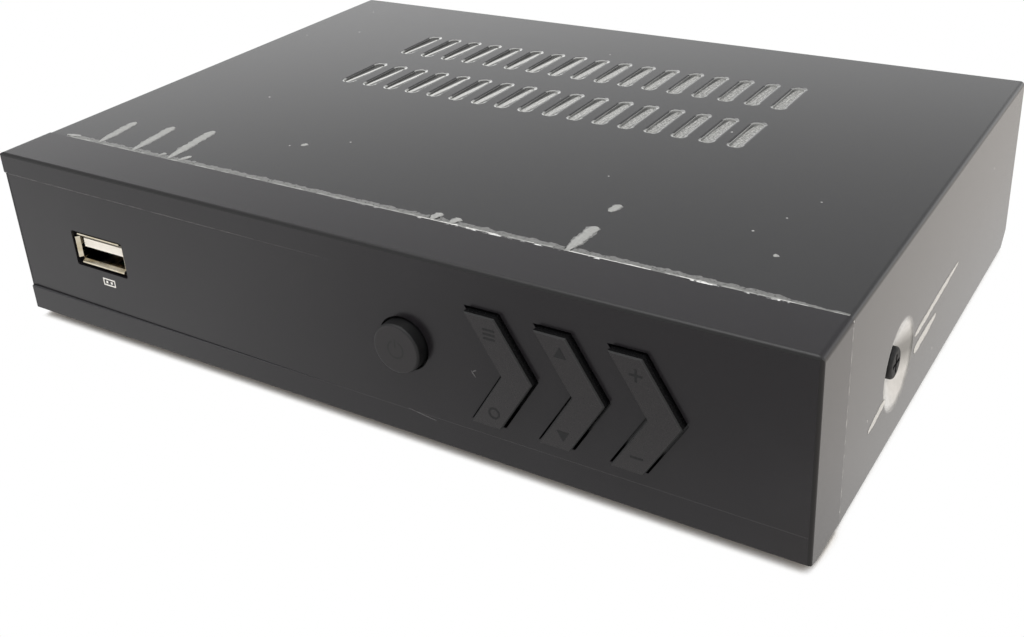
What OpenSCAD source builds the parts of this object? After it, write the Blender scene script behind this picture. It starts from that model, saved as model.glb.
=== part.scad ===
/* [Case] */
// Width of the front moulding, the widest piece of the case
case_w = 170; // [168:1:200]
// Height of the case above its feet
case_h = 37; // [36.5:0.1:44]
// Depth from the front face to the back edge of the cover
case_d = 120; // [118:1:150]
// Height of the rubber feet
foot_h = 0.6; // [0.4:0.1:4]
// Radius of the rubber feet
foot_r = 5; // [3:0.1:7]
// Distance of each foot from the side of the case
foot_side = 13; // [11:0.5:25]
// Distance of each foot from the front or back end of the chassis
foot_end = 12; // [8:0.5:25]

/* [Front moulding] */
// Depth of the front moulding, back to the seam with the cover
bezel_d = 12.2; // [11.5:0.1:15]
// Thickness of the front wall
panel_t = 2.2; // [1.8:0.1:2.6]
// Thickness of the top, bottom and side walls
bezel_wall = 2; // [1.6:0.1:2.4]
// Radius of the corners that run from front to back
corner_r = 1.1; // [0.8:0.1:2.4]
// Radius round the edge of the front face
edge_r = 0.6; // [0.2:0.1:1]
// Height of the front face's lower edge above the bottom of the case
chin_rise = 1.8; // [1:0.1:3]
// Depth of the tapered recess at its left end
recess_depth = 0.6; // [0.3:0.05:1.1]
// Distance from the right side to where the recess runs out
recess_side = 81; // [79:1:95]
// Height of the lower edge of the recess floor
recess_low = 6.7; // [5.5:0.1:8]
// Distance of the recess floor's upper edge from the top of the case
recess_top = 4.75; // [4:0.05:7]
// Length of the lip that the cover closes over
lip_len = 3; // [2:0.1:5]
// Width of each bottom hook
hook_w = 12; // [6:0.5:20]

/* [Keys] */
// Distance of the middle of the keys from the top of the case
key_drop = 17.2; // [16.9:0.1:17.4]
// Distance of the power key from the right side
power_side = 71; // [70:0.1:73]
// Radius of the power key
power_r = 4.65; // [4:0.05:5.2]
// How far the power key stands out of the front
power_proud = 2.35; // [1:0.05:3]
// Travel of the power key
power_travel = 0.3; // [0.2:0.05:0.35]
// Distance of the first rocker key's left end from the right side
rocker_side = 57.4; // [57:0.1:58.5]
// Distance between neighbouring rocker keys
rocker_pitch = 12.76; // [12.4:0.02:13.2]
// Width of each arm of a rocker key
rocker_arm = 5.7; // [5.2:0.1:6]
// Height of a rocker key
rocker_h = 20.5; // [19.5:0.1:21]
// How far the point of a rocker key leads its ends
rocker_point = 6.4; // [5.8:0.1:6.8]
// How far the rocker keys stand out of the front
rocker_proud = 1.45; // [0.6:0.05:2]
// Chamfer round the face of each rocker key
rocker_chamfer = 0.25; // [0.1:0.05:0.5]
// Radius of the rocker pivot pins
pin_r = 1; // [0.8:0.05:1.1]
// Distance of the switch stems from the pivot
stem_arm = 7.5; // [7:0.1:8]

/* [Cover] */
// Thickness of the sheet steel
sheet_t = 0.7; // [0.5:0.05:1]
// Distance that the cover lies inside the front moulding's outline
cover_inset = 0.15; // [0.1:0.05:0.8]
// Inside bend radius of the sheet
bend_in_r = 0.2; // [0.1:0.1:1.2]
// Slots in each row of vents
vent_count = 17; // [9:1:19]
// Distance between neighbouring slots
vent_pitch = 5.76; // [4.6:0.02:6]
// Width of a slot
vent_w = 2.4; // [1.8:0.1:3]
// Length of a slot
vent_l = 13.3; // [8:0.1:16]
// Width of the rolled edge round the mouth of a slot
vent_roll = 0.45; // [0.3:0.05:0.8]
// Depth of the rolled edge round the mouth of a slot
vent_roll_depth = 0.14; // [0.1:0.02:0.3]
// Distance of the first row's middle from the front face
vent_y = 70; // [60:0.5:75]
// Distance between the two rows
vent_row_pitch = 21.9; // [18:0.1:24]
// Offset of the rows from the middle of the case
vent_x = -1; // [-3:0.1:3]
// Radius of the dish round a side screw
dish_r = 8; // [6:0.1:9]
// Depth of the dish round a side screw
dish_depth = 1.5; // [1.2:0.1:1.8]
// Distance of the side screw from the front face
dish_y = 39.6; // [30:0.1:50]
// Height of the side screw
dish_z = 14; // [13:0.1:15]
// Width of each rear tab
tab_w = 10; // [8:0.5:14]
// Length of each rear tab
tab_l = 9; // [8:0.1:10]
// Distance of each rear tab from the side of the case
tab_side = 23; // [15:1:35]

/* [Chassis] */
// Height of the side flanges
side_flange_h = 18.5; // [18:0.5:22]
// Height of the front flange
front_flange_h = 4.6; // [4:0.1:5]
// Height of the standoffs under the boards
standoff_h = 5; // [4:0.1:6]
// Outside radius of the standoffs
standoff_r = 2.75; // [2.5:0.05:3.2]

/* [Screws] */
// Radius of a screw's shank
screw_r = 1.4; // [1.2:0.05:1.5]
// Radius of a screw's head
head_r = 2.8; // [2.4:0.1:3.2]
// Height of a screw's head
head_h = 1.1; // [0.9:0.1:1.4]
// Length of a screw's shank
screw_l = 5; // [4:0.1:6]

/* [Boards] */
// Thickness of the boards
board_t = 1.6; // [1:0.1:2]
// Distance of a board's holes from its edges
hole_edge = 4; // [3.5:0.1:5]
// Height of the front board
front_board_h = 23; // [22.5:0.1:24]
// Distance between the front wall and the front board
boss_len = 8.4; // [8:0.1:9]
// Distance of the main board and the supply board behind the front board
board_setback = 12; // [11.5:0.1:14]
// Width of the supply board
supply_w = 27; // [25:0.5:29]
// Space between boards and between a board and the chassis
board_gap = 3; // [2:0.1:4]

/* [Sockets] */
// Width of the front serial socket's shell
serial_w = 13.1; // [12.8:0.1:13.4]
// Height of the front serial socket's shell
serial_h = 5.7; // [5.5:0.05:6]
// Distance of the serial socket's middle from the left side
serial_side = 24.05; // [22:0.05:27]
// Distance of the serial socket's middle below the middle of the keys
serial_drop = 0.5; // [0:0.1:1.5]
// Distance of the serial socket's mouth behind the front face
serial_mouth = 0.8; // [0.6:0.1:1.4]
// Flare of the lips round the serial socket's mouth
serial_flare = 0.4; // [0.2:0.05:0.6]
// Thickness of the shells' metal
shell_t = 0.3; // [0.25:0.05:0.4]
// Width of the tuner
tuner_w = 34; // [32:0.5:38]
// Depth of the tuner
tuner_l = 28; // [24:0.5:31]
// Distance between the two aerial sockets
aerial_pitch = 17; // [15:0.1:19]
// Width of the digital video socket
video_w = 15; // [14.5:0.1:15.5]
// Width of the audio-video socket
av_w = 47; // [46:0.1:50]
// Height of the rear sockets' axes above the board
socket_rise = 7; // [6.5:0.1:8]
// Distance that the aerial sockets stand out of the rear wall
aerial_proud = 10; // [8:0.1:12]
// Outside radius of the aerial output's sleeve
aerial_out_r = 4.75; // [4.6:0.05:4.8]
// Inside radius of the aerial input's barrel
aerial_in_r = 4.8; // [4.75:0.05:4.9]
// Radius of the aerial input's centre contact bore
aerial_bore_r = 1.2; // [1.15:0.05:1.3]
// Outside radius of the coaxial jack's sleeve
coax_r = 4.15; // [4:0.05:4.2]
// Distance that the coaxial jack stands out of the rear wall
coax_proud = 8.5; // [7:0.1:9]
// Radius of the coaxial jack's centre bore
coax_bore_r = 1.6; // [1.5:0.05:1.7]
// Distance between the mains inlet's pins
inlet_pitch = 8.6; // [8.4:0.1:8.8]
// Radius of the mains inlet's pins
inlet_pin_r = 1.2; // [1.15:0.05:1.25]

/* [Inside parts] */
// Distance of the infrared receiver from the left side
infrared_side = 53; // [46:0.5:56]
// Distance of the standby lamp from the left side
lamp_side = 67; // [62:0.5:70]
// Distance of the flat cable's middle from the left side
ribbon_side = 73; // [66:0.5:80]
// Width of the flat cable
ribbon_w = 16; // [12:0.5:20]
// Side of the main chip
chip_size = 20; // [16:0.5:24]
// Side of the heat sink on the main chip
sink_size = 28; // [26:0.5:34]
// Width of the transformer's core
core_w = 17; // [16:0.5:18]
// Thickness of the transformer's core
core_d = 7; // [6:0.5:8]
// Radius of the bulk capacitor
bulk_r = 7; // [6:0.1:8]
// Length of the mains fuse
fuse_l = 18; // [16:0.5:22]
// Length of the harness headers
header_l = 13; // [11:0.5:15]

/* [Fits] */
// Gap between pieces that fit together
fit_gap = 0.15; // [0.1:0.05:0.3]
// Gap along the seam behind the front moulding
seam_gap = 0.2; // [0.1:0.05:0.5]
// Gap round each key in its opening
key_gap = 0.4; // [0.3:0.05:0.45]
// Radial clearance of the rocker pivots
pivot_clear = 0.05; // [0.02:0.01:0.08]
// Gap between the power key and its switch at rest
touch_gap = 0.05; // [0.02:0.01:0.1]
// Free travel of a rocker stem before it meets its switch
rocker_play = 0.3; // [0.3:0.05:0.5]

/* [Hidden] */
$fn = 64;
// Extra length of a cut past the faces that it opens
over = 1;

// The case
half_w = case_w / 2;
cover_x = half_w - cover_inset;
cover_top = case_h - cover_inset;
cover_y = bezel_d + seam_gap;
cover_in_x = cover_x - sheet_t;
cover_in_top = cover_top - sheet_t;
cover_low = sheet_t / 2;
flange_x = cover_in_x - dish_depth;
flange_in_x = flange_x - sheet_t;
rear_y = case_d - sheet_t;
rear_in_y = rear_y - sheet_t;
lip_t = dish_depth - 2 * fit_gap;
bend_r = bend_in_r + sheet_t;
chin_r = (bezel_d * bezel_d + chin_rise * chin_rise) / (2 * chin_rise);
tab_x = half_w - tab_side;
front_y = power_proud - (power_proud + rear_y + aerial_proud) / 2;

// Places on the front face
key_z = case_h - key_drop;
power_x = half_w - power_side;
rocker_x = half_w - rocker_side;
serial_x = serial_side - half_w;
serial_z = key_z - serial_drop;
recess_end_x = half_w - recess_side;
recess_high = case_h - recess_top;

// The front's mechanism, in depth behind the front face
front_board_y = panel_t + boss_len;
front_board_back = front_board_y + board_t;
switch_size = 6;
switch_body = 3.5;
switch_total = 5;
plunger_r = 1.75;
plunger_clear = 0.15;
plunger_l = 2.6;
switch_y = front_board_y - switch_body;
plunger_y = front_board_y - switch_total;
key_flange = 0.6;
flange_t = 1.2;
rocker_swing = 0.7;
rocker_flange_y = panel_t + rocker_swing;
ear_wall = 1;
ear_y = rocker_flange_y + flange_t + rocker_swing;
pivot_y = ear_y + ear_wall + pin_r + pivot_clear;
ear_neck = 2;
stem_r = 1.2;
boss_r = 2.6;
pilot_r = screw_r + fit_gap / 3;

// The rockers' outline: the arms lean by this much for each unit of height
lean = 2 * rocker_point / rocker_h;
flange_grow = key_gap + key_flange;
side_grow = flange_grow * sqrt(1 + lean * lean);
stem_x = rocker_arm / 2 + lean * (rocker_h / 2 - stem_arm);
ear_x0 = rocker_arm + rocker_point + side_grow + key_gap;
ear_x1 = rocker_pitch + rocker_point - side_grow - key_gap - lean * ear_neck / 2;
ear_mid = (ear_x0 + ear_x1) / 2;
pin_end = ear_mid - fit_gap;
pin_start = ear_mid - rocker_pitch + fit_gap;

// The front board
front_board_side = 7;
front_board_w = case_w - 2 * front_board_side;
front_hole_lift = 1;
front_hole_x = front_board_w / 2 - hole_edge;
front_hole_z = front_board_h / 2 - hole_edge + front_hole_lift;
front_holes = [for (x = [-front_hole_x, front_hole_x], z = [-front_hole_z, front_hole_z]) [x, key_z + z]];
infrared_x = infrared_side - half_w;
lamp_x = lamp_side - half_w;
ribbon_x = ribbon_side - half_w;

// The boards on the chassis
board_z = sheet_t + standoff_h;
board_top = board_z + board_t;
board_back = rear_in_y - fit_gap;
board_front = front_board_back + board_setback;
board_l = board_back - board_front;
main_right = flange_in_x - board_gap / 2;
supply_left = -main_right;
supply_right = supply_left + supply_w;
main_left = supply_right + board_gap;
supply_x = supply_left + supply_w / 2;

// The rear sockets, from the tuner at the right to the mains inlet at the left
socket_z = board_top + socket_rise;
socket_gap = 1.5;
tuner_h = 13;
tuner_side = 1;
tuner_x = main_right - tuner_w / 2 - tuner_side;
tuner_y = rear_in_y - tuner_l - fit_gap;
aerial_in_x = tuner_x + aerial_pitch / 2;
aerial_out_x = tuner_x - aerial_pitch / 2;
aerial_barrel_r = 6.3;
video_x = tuner_x - tuner_w / 2 - socket_gap - video_w / 2;
video_h = 5.6;
video_l = 12;
video_z = board_top + video_h / 2;
av_h = 14;
av_l = 17;
av_rise = 1;
av_x = main_left + socket_gap + av_w / 2;
av_z = board_top + av_h / 2 + av_rise;
av_front = rear_in_y - av_l;
coax_x = (av_x + av_w / 2 + video_x - video_w / 2) / 2;
coax_body_w = 10;
coax_body_h = 13;
coax_body_l = 10;
inlet_w = 20;
inlet_h = 13;
inlet_l = 17;
inlet_z = board_top + inlet_h / 2;
inlet_lobe_r = 4.1;
inlet_lobe_x = 3.3;
inlet_depth = 12;

// The parts on the supply board, in order from front to back
part_gap = 1.5;
output_r = 2.5;
core_wind = 6;
core_side = 3;
ring_r = 3.5;
ring_wire_r = 2;
output_y = board_front + hole_edge;
transformer_y = output_y + output_r + part_gap + core_wind + core_d / 2;
supply_row_y = transformer_y + core_d / 2 + core_wind + part_gap + head_r;
fuse_y = supply_row_y + head_r + part_gap;
bulk_x = supply_right - part_gap - bulk_r;
bulk_y = fuse_y + bulk_r;
filter_y = bulk_y + bulk_r + part_gap + ring_r + ring_wire_r;

// The boards' screws
main_holes = [for (x = [main_left + hole_edge, main_right - hole_edge],
  y = [board_front + hole_edge, tuner_y - hole_edge]) [x, y]];
supply_holes = [for (x = [supply_left + hole_edge, supply_right - hole_edge],
  y = [board_front + hole_edge, supply_row_y]) [x, y]];

// Frame helpers
module placed() {
  translate([0, front_y, foot_h]) children();
}

// A shape drawn in x and z, run back from y0
module slab(y0, d) {
  translate([0, y0 + d, 0]) rotate([90, 0, 0]) linear_extrude(d) children();
}

// A shape drawn in y and z, run right from x0
module bar(x0, w) {
  translate([x0, 0, 0]) rotate([90, 0, 90]) linear_extrude(w) children();
}

// A shape drawn in x and y, run up from z0
module plate(z0, t) {
  translate([0, 0, z0]) linear_extrude(t) children();
}

module block(low, high) {
  translate(low) cube(high - low);
}

module rod_y(x, y0, z, r, l) {
  translate([x, y0, z]) rotate([-90, 0, 0]) cylinder(r = r, h = l);
}

module rod_x(x0, y, z, r, l) {
  translate([x0, y, z]) rotate([0, 90, 0]) cylinder(r = r, h = l);
}

module rounded(w, h, r) {
  square([w - 2 * r, h], center = true);
  square([w, h - 2 * r], center = true);
  for (x = [-1, 1], y = [-1, 1])
    translate([x * (w / 2 - r), y * (h / 2 - r)]) circle(r);
}

// An outline with its two upper corners rounded, standing on the x axis
module arch(w, h, r) {
  translate([-w / 2, 0]) square([w, h - r]);
  translate([-w / 2 + r, 0]) square([w - 2 * r, h]);
  for (x = [-1, 1])
    translate([x * (w / 2 - r), h - r]) circle(r);
}

// A slot with round ends, lying along y
module stadium(w, l) {
  square([w, l - w], center = true);
  for (y = [-1, 1])
    translate([0, y * (l - w) / 2]) circle(w / 2);
}

// A pan-head screw along z, its head above the origin and a cross cut in it
module screw(l) {
  cross_w = 0.7;
  cross_edge = 1;
  cross_l = 2 * (head_r - cross_edge);
  cross_depth = head_h / 2;
  difference() {
    union() {
      rotate_extrude() {
        square([head_r, head_h / 2]);
        square([head_r - head_h / 2, head_h]);
        translate([head_r - head_h / 2, head_h / 2]) circle(head_h / 2);
      }
      translate([0, 0, -l]) cylinder(r = screw_r, h = l + head_h / 4);
    }
    translate([0, 0, head_h]) cube([cross_w, cross_l, 2 * cross_depth], center = true);
    translate([0, 0, head_h]) cube([cross_l, cross_w, 2 * cross_depth], center = true);
  }
}

// A can capacitor standing on the origin, with its crimp and domed edge
module can(r, h) {
  crimp_r = 0.5;
  crimp_z = 2;
  rotate_extrude() difference() {
    union() {
      square([r - crimp_r, h]);
      square([r, h - crimp_r]);
      translate([r - crimp_r, h - crimp_r]) circle(crimp_r);
    }
    translate([r, crimp_z]) circle(crimp_r);
  }
}

// The outline of a rocker key, drawn from its left end at mid-height and grown by a margin
function rocker_points(grow) =
  let (s = grow * sqrt(1 + lean * lean), top = rocker_h / 2 + grow, end = lean * grow)
  [[-end - s, top], [rocker_arm - end + s, top], [rocker_arm + rocker_point + s, 0],
   [rocker_arm - end + s, -top], [-end - s, -top], [rocker_point - s, 0]];

function rocker_left(i) = rocker_x + i * rocker_pitch;

function rocker_switch(i, side) = [rocker_left(i) + stem_x, key_z + side * stem_arm];

switch_spots = concat([[power_x, key_z]], [for (i = [0:2], side = [-1, 1]) rocker_switch(i, side)]);

// The solid outside of the front moulding, its front edge rounded and its underside swept up
module front_rounded(size) {
  translate([edge_r, 0]) square([bezel_d + over - edge_r, size]);
  translate([0, edge_r]) square([bezel_d + over, size - 2 * edge_r]);
  for (v = [edge_r, size - edge_r])
    translate([edge_r, v]) circle(edge_r);
}

module bezel_outside() {
  intersection() {
    slab(0, bezel_d) translate([0, case_h / 2]) rounded(case_w, case_h, corner_r);
    bar(-half_w - over, case_w + 2 * over) translate([0, -over]) front_rounded(case_h + over);
    plate(-over, case_h + 2 * over) translate([-half_w, 0]) mirror([1, -1, 0]) front_rounded(case_w);
    rod_x(-half_w - over, bezel_d, chin_r, chin_r, case_w + 2 * over);
  }
}

module bezel_shell() {
  floor_z = bezel_wall + chin_rise / 2;
  difference() {
    bezel_outside();
    slab(panel_t, bezel_d) translate([bezel_wall - half_w, floor_z])
      square([case_w - 2 * bezel_wall, case_h - bezel_wall - floor_z]);
  }
}

// The lip that lies between the cover and the chassis flanges
module bezel_lip() {
  lip_w = 2 * (cover_in_x - fit_gap);
  lip_h = cover_in_top - fit_gap - bezel_wall;
  slab(bezel_d - lip_len, 2 * lip_len) translate([0, bezel_wall]) difference() {
    arch(lip_w, lip_h, corner_r);
    translate([0, -over]) arch(lip_w - 2 * lip_t, lip_h - lip_t + over, corner_r);
  }
}

// The hooks along the bottom edge that catch behind the chassis's front flange
hook_t = 1.2;
hook_nose = 0.8;
hook_z = sheet_t + 2 * fit_gap;
hook_side = 30;
hook_spots = [hook_side - half_w, 0, half_w - hook_side];

module bezel_hooks() {
  catch_y = cover_y + sheet_t + fit_gap;
  for (x = hook_spots) {
    block([x - hook_w / 2, bezel_d - lip_len, hook_z], [x + hook_w / 2, catch_y + hook_t, hook_z + hook_t]);
    block([x - hook_w / 2, catch_y, hook_z], [x + hook_w / 2, catch_y + hook_t, hook_z + hook_t + hook_nose]);
  }
}

module hook_windows() {
  for (x = hook_spots)
    block([x - hook_w / 2 - fit_gap, cover_y - over, hook_z - fit_gap],
      [x + hook_w / 2 + fit_gap, cover_y + sheet_t + over, hook_z + hook_t + fit_gap]);
}

// The snap bearings that carry the rocker pins, open to the back
module rocker_ears() {
  for (i = [-1:2])
    translate([rocker_left(i), 0, key_z]) {
      block([ear_x0, panel_t - over, -ear_neck / 2], [ear_x1, pivot_y, ear_neck / 2]);
      rod_x(ear_x0, pivot_y, 0, pin_r + pivot_clear + ear_wall, ear_x1 - ear_x0);
    }
}

module rocker_bores() {
  slit = 1.2 * pin_r;
  cut_l = ear_x1 - ear_x0 + 2 * fit_gap;
  for (i = [-1:2])
    translate([rocker_left(i) - fit_gap, 0, key_z]) {
      rod_x(ear_x0, pivot_y, 0, pin_r + pivot_clear, cut_l);
      block([ear_x0, pivot_y, -slit / 2], [ear_x0 + cut_l, pivot_y + 3 * pin_r, slit / 2]);
    }
}

// The ring that guides the power key's flange
power_flange_r = power_r + key_gap + key_flange;
guide_t = 1.2;

module power_guide() {
  translate([power_x, panel_t - over, key_z]) rotate([-90, 0, 0]) difference() {
    cylinder(r = power_flange_r + key_gap + guide_t, h = over + flange_t + power_travel);
    translate([0, 0, over - fit_gap]) cylinder(r = power_flange_r + key_gap, h = over + 2 * flange_t);
  }
}

// The shallow recess that tapers out from the left end
module front_recess() {
  wall = 3;
  taper = atan(recess_depth / (half_w + recess_end_x));
  translate([recess_end_x, 0, 0]) rotate([0, 0, -taper]) bar(-case_w, case_w)
    polygon([[0, recess_low], [0, recess_high], [-wall, recess_high + wall], [-wall, recess_low]]);
}

pocket_depth = 1;
infrared_r = 3.2;
lamp_r = 1.5;
serial_gap_x = 0.3;
serial_gap_z = 0.55;

module front_panel() {
  color([0.16, 0.155, 0.165]) placed() difference() {
    union() {
      bezel_shell();
      bezel_lip();
      bezel_hooks();
      rocker_ears();
      power_guide();
      for (p = front_holes)
        rod_y(p[0], panel_t - over, p[1], boss_r, boss_len + over);
    }
    front_recess();
    rod_y(power_x, -over, key_z, power_r + key_gap, panel_t + 2 * over);
    for (i = [0:2])
      translate([rocker_left(i), 0, key_z]) slab(-over, panel_t + over + fit_gap)
        polygon(rocker_points(key_gap));
    slab(-over, panel_t + 2 * over) translate([serial_x, serial_z])
      rounded(serial_w + 2 * (serial_flare + serial_gap_x), serial_h + 2 * (serial_flare + serial_gap_z),
        serial_gap_z);
    rocker_bores();
    for (p = front_holes)
      rod_y(p[0], front_board_y - screw_l, p[1], pilot_r, screw_l + over);
    rod_y(infrared_x, panel_t - pocket_depth, key_z, infrared_r, pocket_depth + over);
    rod_y(lamp_x, panel_t - pocket_depth, key_z, lamp_r + key_gap, pocket_depth + over);
  }
}

module power_button() {
  stem = 2;
  face_r = 0.5;
  seat = panel_t + touch_gap;
  color([0.17, 0.165, 0.175]) placed() translate([power_x, 0, key_z])
    rotate([-90, 0, 0]) rotate_extrude() {
      translate([0, -power_proud]) square([power_r - face_r, face_r]);
      translate([0, face_r - power_proud]) square([power_r, seat + power_proud - face_r]);
      translate([power_r - face_r, face_r - power_proud]) circle(face_r);
      translate([0, seat]) square([power_flange_r, flange_t]);
      translate([0, seat]) square([stem, plunger_y - touch_gap - seat]);
    }
}

// One arm of a rocker key's chamfered face
module rocker_face(side) {
  full = rocker_points(0);
  small = rocker_points(-rocker_chamfer);
  pick = side > 0 ? [0, 1, 2, 5] : [5, 2, 3, 4];
  skin = 0.01;
  hull() {
    slab(rocker_chamfer - rocker_proud, skin) polygon([for (k = pick) full[k]]);
    slab(-rocker_proud, skin) polygon([for (k = pick) small[k]]);
  }
}

module rocker(i) {
  web = 1.5 * pin_r;
  color([0.17, 0.165, 0.175]) placed() translate([rocker_left(i), 0, key_z]) {
    slab(rocker_chamfer - rocker_proud, rocker_flange_y + rocker_proud - rocker_chamfer)
      polygon(rocker_points(0));
    rocker_face(1);
    rocker_face(-1);
    slab(rocker_flange_y, flange_t) polygon(rocker_points(flange_grow));
    block([rocker_point, rocker_flange_y, -web],
      [rocker_point + rocker_arm - lean * web, pivot_y + pin_r, web]);
    rod_x(pin_start, pivot_y, 0, pin_r, pin_end - pin_start);
    for (side = [-1, 1])
      rod_y(stem_x, rocker_flange_y, side * stem_arm, stem_r, plunger_y - rocker_play - rocker_flange_y);
  }
}

module menu_rocker() {
  rocker(0);
}

module channel_rocker() {
  rocker(1);
}

module volume_rocker() {
  rocker(2);
}

module front_board() {
  color([0.1, 0.35, 0.18]) placed() slab(front_board_y, board_t) difference() {
    translate([0, key_z]) square([front_board_w, front_board_h], center = true);
    for (p = front_holes)
      translate(p) circle(screw_r + fit_gap);
  }
}

module front_board_screws() {
  color([0.7, 0.7, 0.72]) placed() for (p = front_holes)
    translate([p[0], front_board_back, p[1]]) rotate([-90, 0, 0]) screw(screw_l);
}

module tact_switches() {
  half = switch_size / 2;
  bore_y = plunger_y + plunger_l + power_travel + fit_gap;
  color([0.2, 0.2, 0.21]) placed() for (p = switch_spots)
    difference() {
      block([p[0] - half, switch_y, p[1] - half], [p[0] + half, front_board_y, p[1] + half]);
      rod_y(p[0], switch_y - over, p[1], plunger_r + plunger_clear, bore_y - switch_y + over);
    }
}

module plunger(p) {
  color([0.12, 0.12, 0.12]) placed() rod_y(p[0], plunger_y, p[1], plunger_r, plunger_l);
}

module power_plunger() {
  plunger([power_x, key_z]);
}

module menu_up_plunger() {
  plunger(rocker_switch(0, 1));
}

module menu_down_plunger() {
  plunger(rocker_switch(0, -1));
}

module channel_up_plunger() {
  plunger(rocker_switch(1, 1));
}

module channel_down_plunger() {
  plunger(rocker_switch(1, -1));
}

module volume_up_plunger() {
  plunger(rocker_switch(2, 1));
}

module volume_down_plunger() {
  plunger(rocker_switch(2, -1));
}

// A three-legged sensor with its lens dome towards the front
module infrared_receiver() {
  body_w = 5.4;
  body_h = 7;
  body_t = 3.4;
  leg_l = 1.2;
  body_back = front_board_y - leg_l;
  body_front = body_back - body_t;
  leg = 0.5;
  leg_pitch = 1.8;
  dome_r = 2.2;
  color([0.1, 0.1, 0.11]) placed() translate([infrared_x, 0, key_z]) {
    block([-body_w / 2, body_front, -body_h / 2], [body_w / 2, body_back, body_h / 2]);
    translate([0, body_front, 0]) sphere(dome_r);
    for (x = [-1, 0, 1] * leg_pitch)
      block([x - leg / 2, body_back - leg, -leg], [x + leg / 2, front_board_y, leg]);
  }
}

module standby_lamp() {
  rim = 0.4;
  rim_t = 1;
  lens_l = 4.5;
  lens_y = front_board_y - lens_l;
  color([0.75, 0.1, 0.08]) placed() translate([lamp_x, 0, key_z]) {
    rod_y(0, front_board_y - rim_t, 0, lamp_r + rim, rim_t);
    rod_y(0, lens_y, 0, lamp_r, front_board_y - lens_y);
    translate([0, lens_y, 0]) sphere(lamp_r);
  }
}

// The front serial socket: a folded shell, its tongue and the four contacts under it
serial_in_w = serial_w - 2 * shell_t;
serial_in_h = serial_h - 2 * shell_t;
tongue_t = 1.84;
tongue_w = 11.1;
tongue_drop = 0.72;
tongue_set = 1;
tongue_top = serial_z + serial_in_h / 2 - tongue_drop;
tongue_front = serial_mouth + tongue_set;
serial_base = 2.2;

// The outline of a flared lip, by its depth and its distance from the socket's middle
function flare_points(half) =
  [[0, half + serial_flare], [flare_l, half], [flare_l + shell_t, half], [flare_l + shell_t, half - shell_t],
   [flare_l, half - shell_t], [0, half + serial_flare - shell_t]];

flare_l = 0.7;
fold_r = 0.6;

module serial_lips() {
  wide = serial_w - 2 * fold_r;
  tall = serial_h - 2 * fold_r;
  for (side = [0, 1]) {
    mirror([0, 0, side]) bar(-wide / 2, wide) polygon(flare_points(serial_h / 2));
    mirror([side, 0, 0]) plate(-tall / 2, tall) polygon([for (p = flare_points(serial_w / 2)) [p[1], p[0]]]);
  }
}

module serial_shell() {
  spring_w = 2.4;
  spring_l = 4.5;
  spring_y = 2;
  body_l = front_board_y - serial_mouth;
  color([0.78, 0.72, 0.55]) placed() translate([serial_x, serial_mouth, serial_z]) {
    serial_lips();
    difference() {
      slab(flare_l, body_l - flare_l) difference() {
        rounded(serial_w, serial_h, fold_r);
        rounded(serial_in_w, serial_in_h, fold_r - shell_t);
      }
      for (x = [-1, 1] * serial_w / 4)
        block([x - spring_w / 2, spring_y, -serial_h], [x + spring_w / 2, spring_y + spring_l, serial_h]);
    }
  }
}

module serial_tongue() {
  color([0.92, 0.91, 0.88]) placed() {
    slab(front_board_y - serial_base, serial_base) translate([serial_x, serial_z])
      square([serial_in_w - 2 * fit_gap, serial_in_h - 2 * fit_gap], center = true);
    block([serial_x - tongue_w / 2, tongue_front, tongue_top - tongue_t],
      [serial_x + tongue_w / 2, front_board_y - serial_base / 2, tongue_top]);
  }
}

module serial_contacts() {
  strip_w = 1;
  strip_t = 0.25;
  inner_x = 1;
  outer_x = 3.5;
  color([0.85, 0.7, 0.3]) placed() for (x = [-outer_x, -inner_x, inner_x, outer_x])
    block([serial_x + x - strip_w / 2, tongue_front + strip_w / 2, tongue_top - tongue_t - strip_t],
      [serial_x + x + strip_w / 2, front_board_y - serial_base, tongue_top - tongue_t]);
}

// The flat cable between the front board and the main board, with a hump of slack
connector_edge = 2;
connector_w = ribbon_w + 2 * connector_edge;
connector_t = 5;
connector_set = 2;
connector_lift = 0.5;
ribbon_rise = 3;
ribbon_z0 = key_z - front_board_h / 2 + connector_lift + connector_t / 2;
ribbon_z1 = board_top + ribbon_rise;
ribbon_y0 = front_board_back + connector_t;
ribbon_y1 = board_front + connector_set;

module ribbon_cable() {
  slack = 3;
  film_t = 0.3;
  steps = 16;
  mid = [for (k = [0:steps]) [ribbon_y0 + (ribbon_y1 - ribbon_y0) * k / steps,
    ribbon_z0 + (ribbon_z1 - ribbon_z0) * k / steps + slack * pow(sin(180 * k / steps), 2)]];
  upper = [for (p = mid) p + [0, film_t / 2]];
  lower = [for (k = [steps:-1:0]) mid[k] - [0, film_t / 2]];
  color([0.85, 0.85, 0.86]) placed() bar(ribbon_x - ribbon_w / 2, ribbon_w)
    polygon(concat(upper, lower));
}

module ribbon_connectors() {
  left = ribbon_x - connector_w / 2;
  right = ribbon_x + connector_w / 2;
  half = connector_t / 2;
  color([0.88, 0.86, 0.8]) placed() {
    block([left, front_board_back, ribbon_z0 - half], [right, ribbon_y0, ribbon_z0 + half]);
    block([left, ribbon_y1, board_top], [right, ribbon_y1 + connector_t, ribbon_z1 + half]);
  }
}

// The cover: a sheet bent over the case, with vents, screw dishes and rear tabs
dish_land = 0.8;
dish_floor_r = head_r + dish_land;
tab_hole_end = 3.6;
tab_hole_z = cover_top - tab_l + tab_hole_end;

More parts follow.
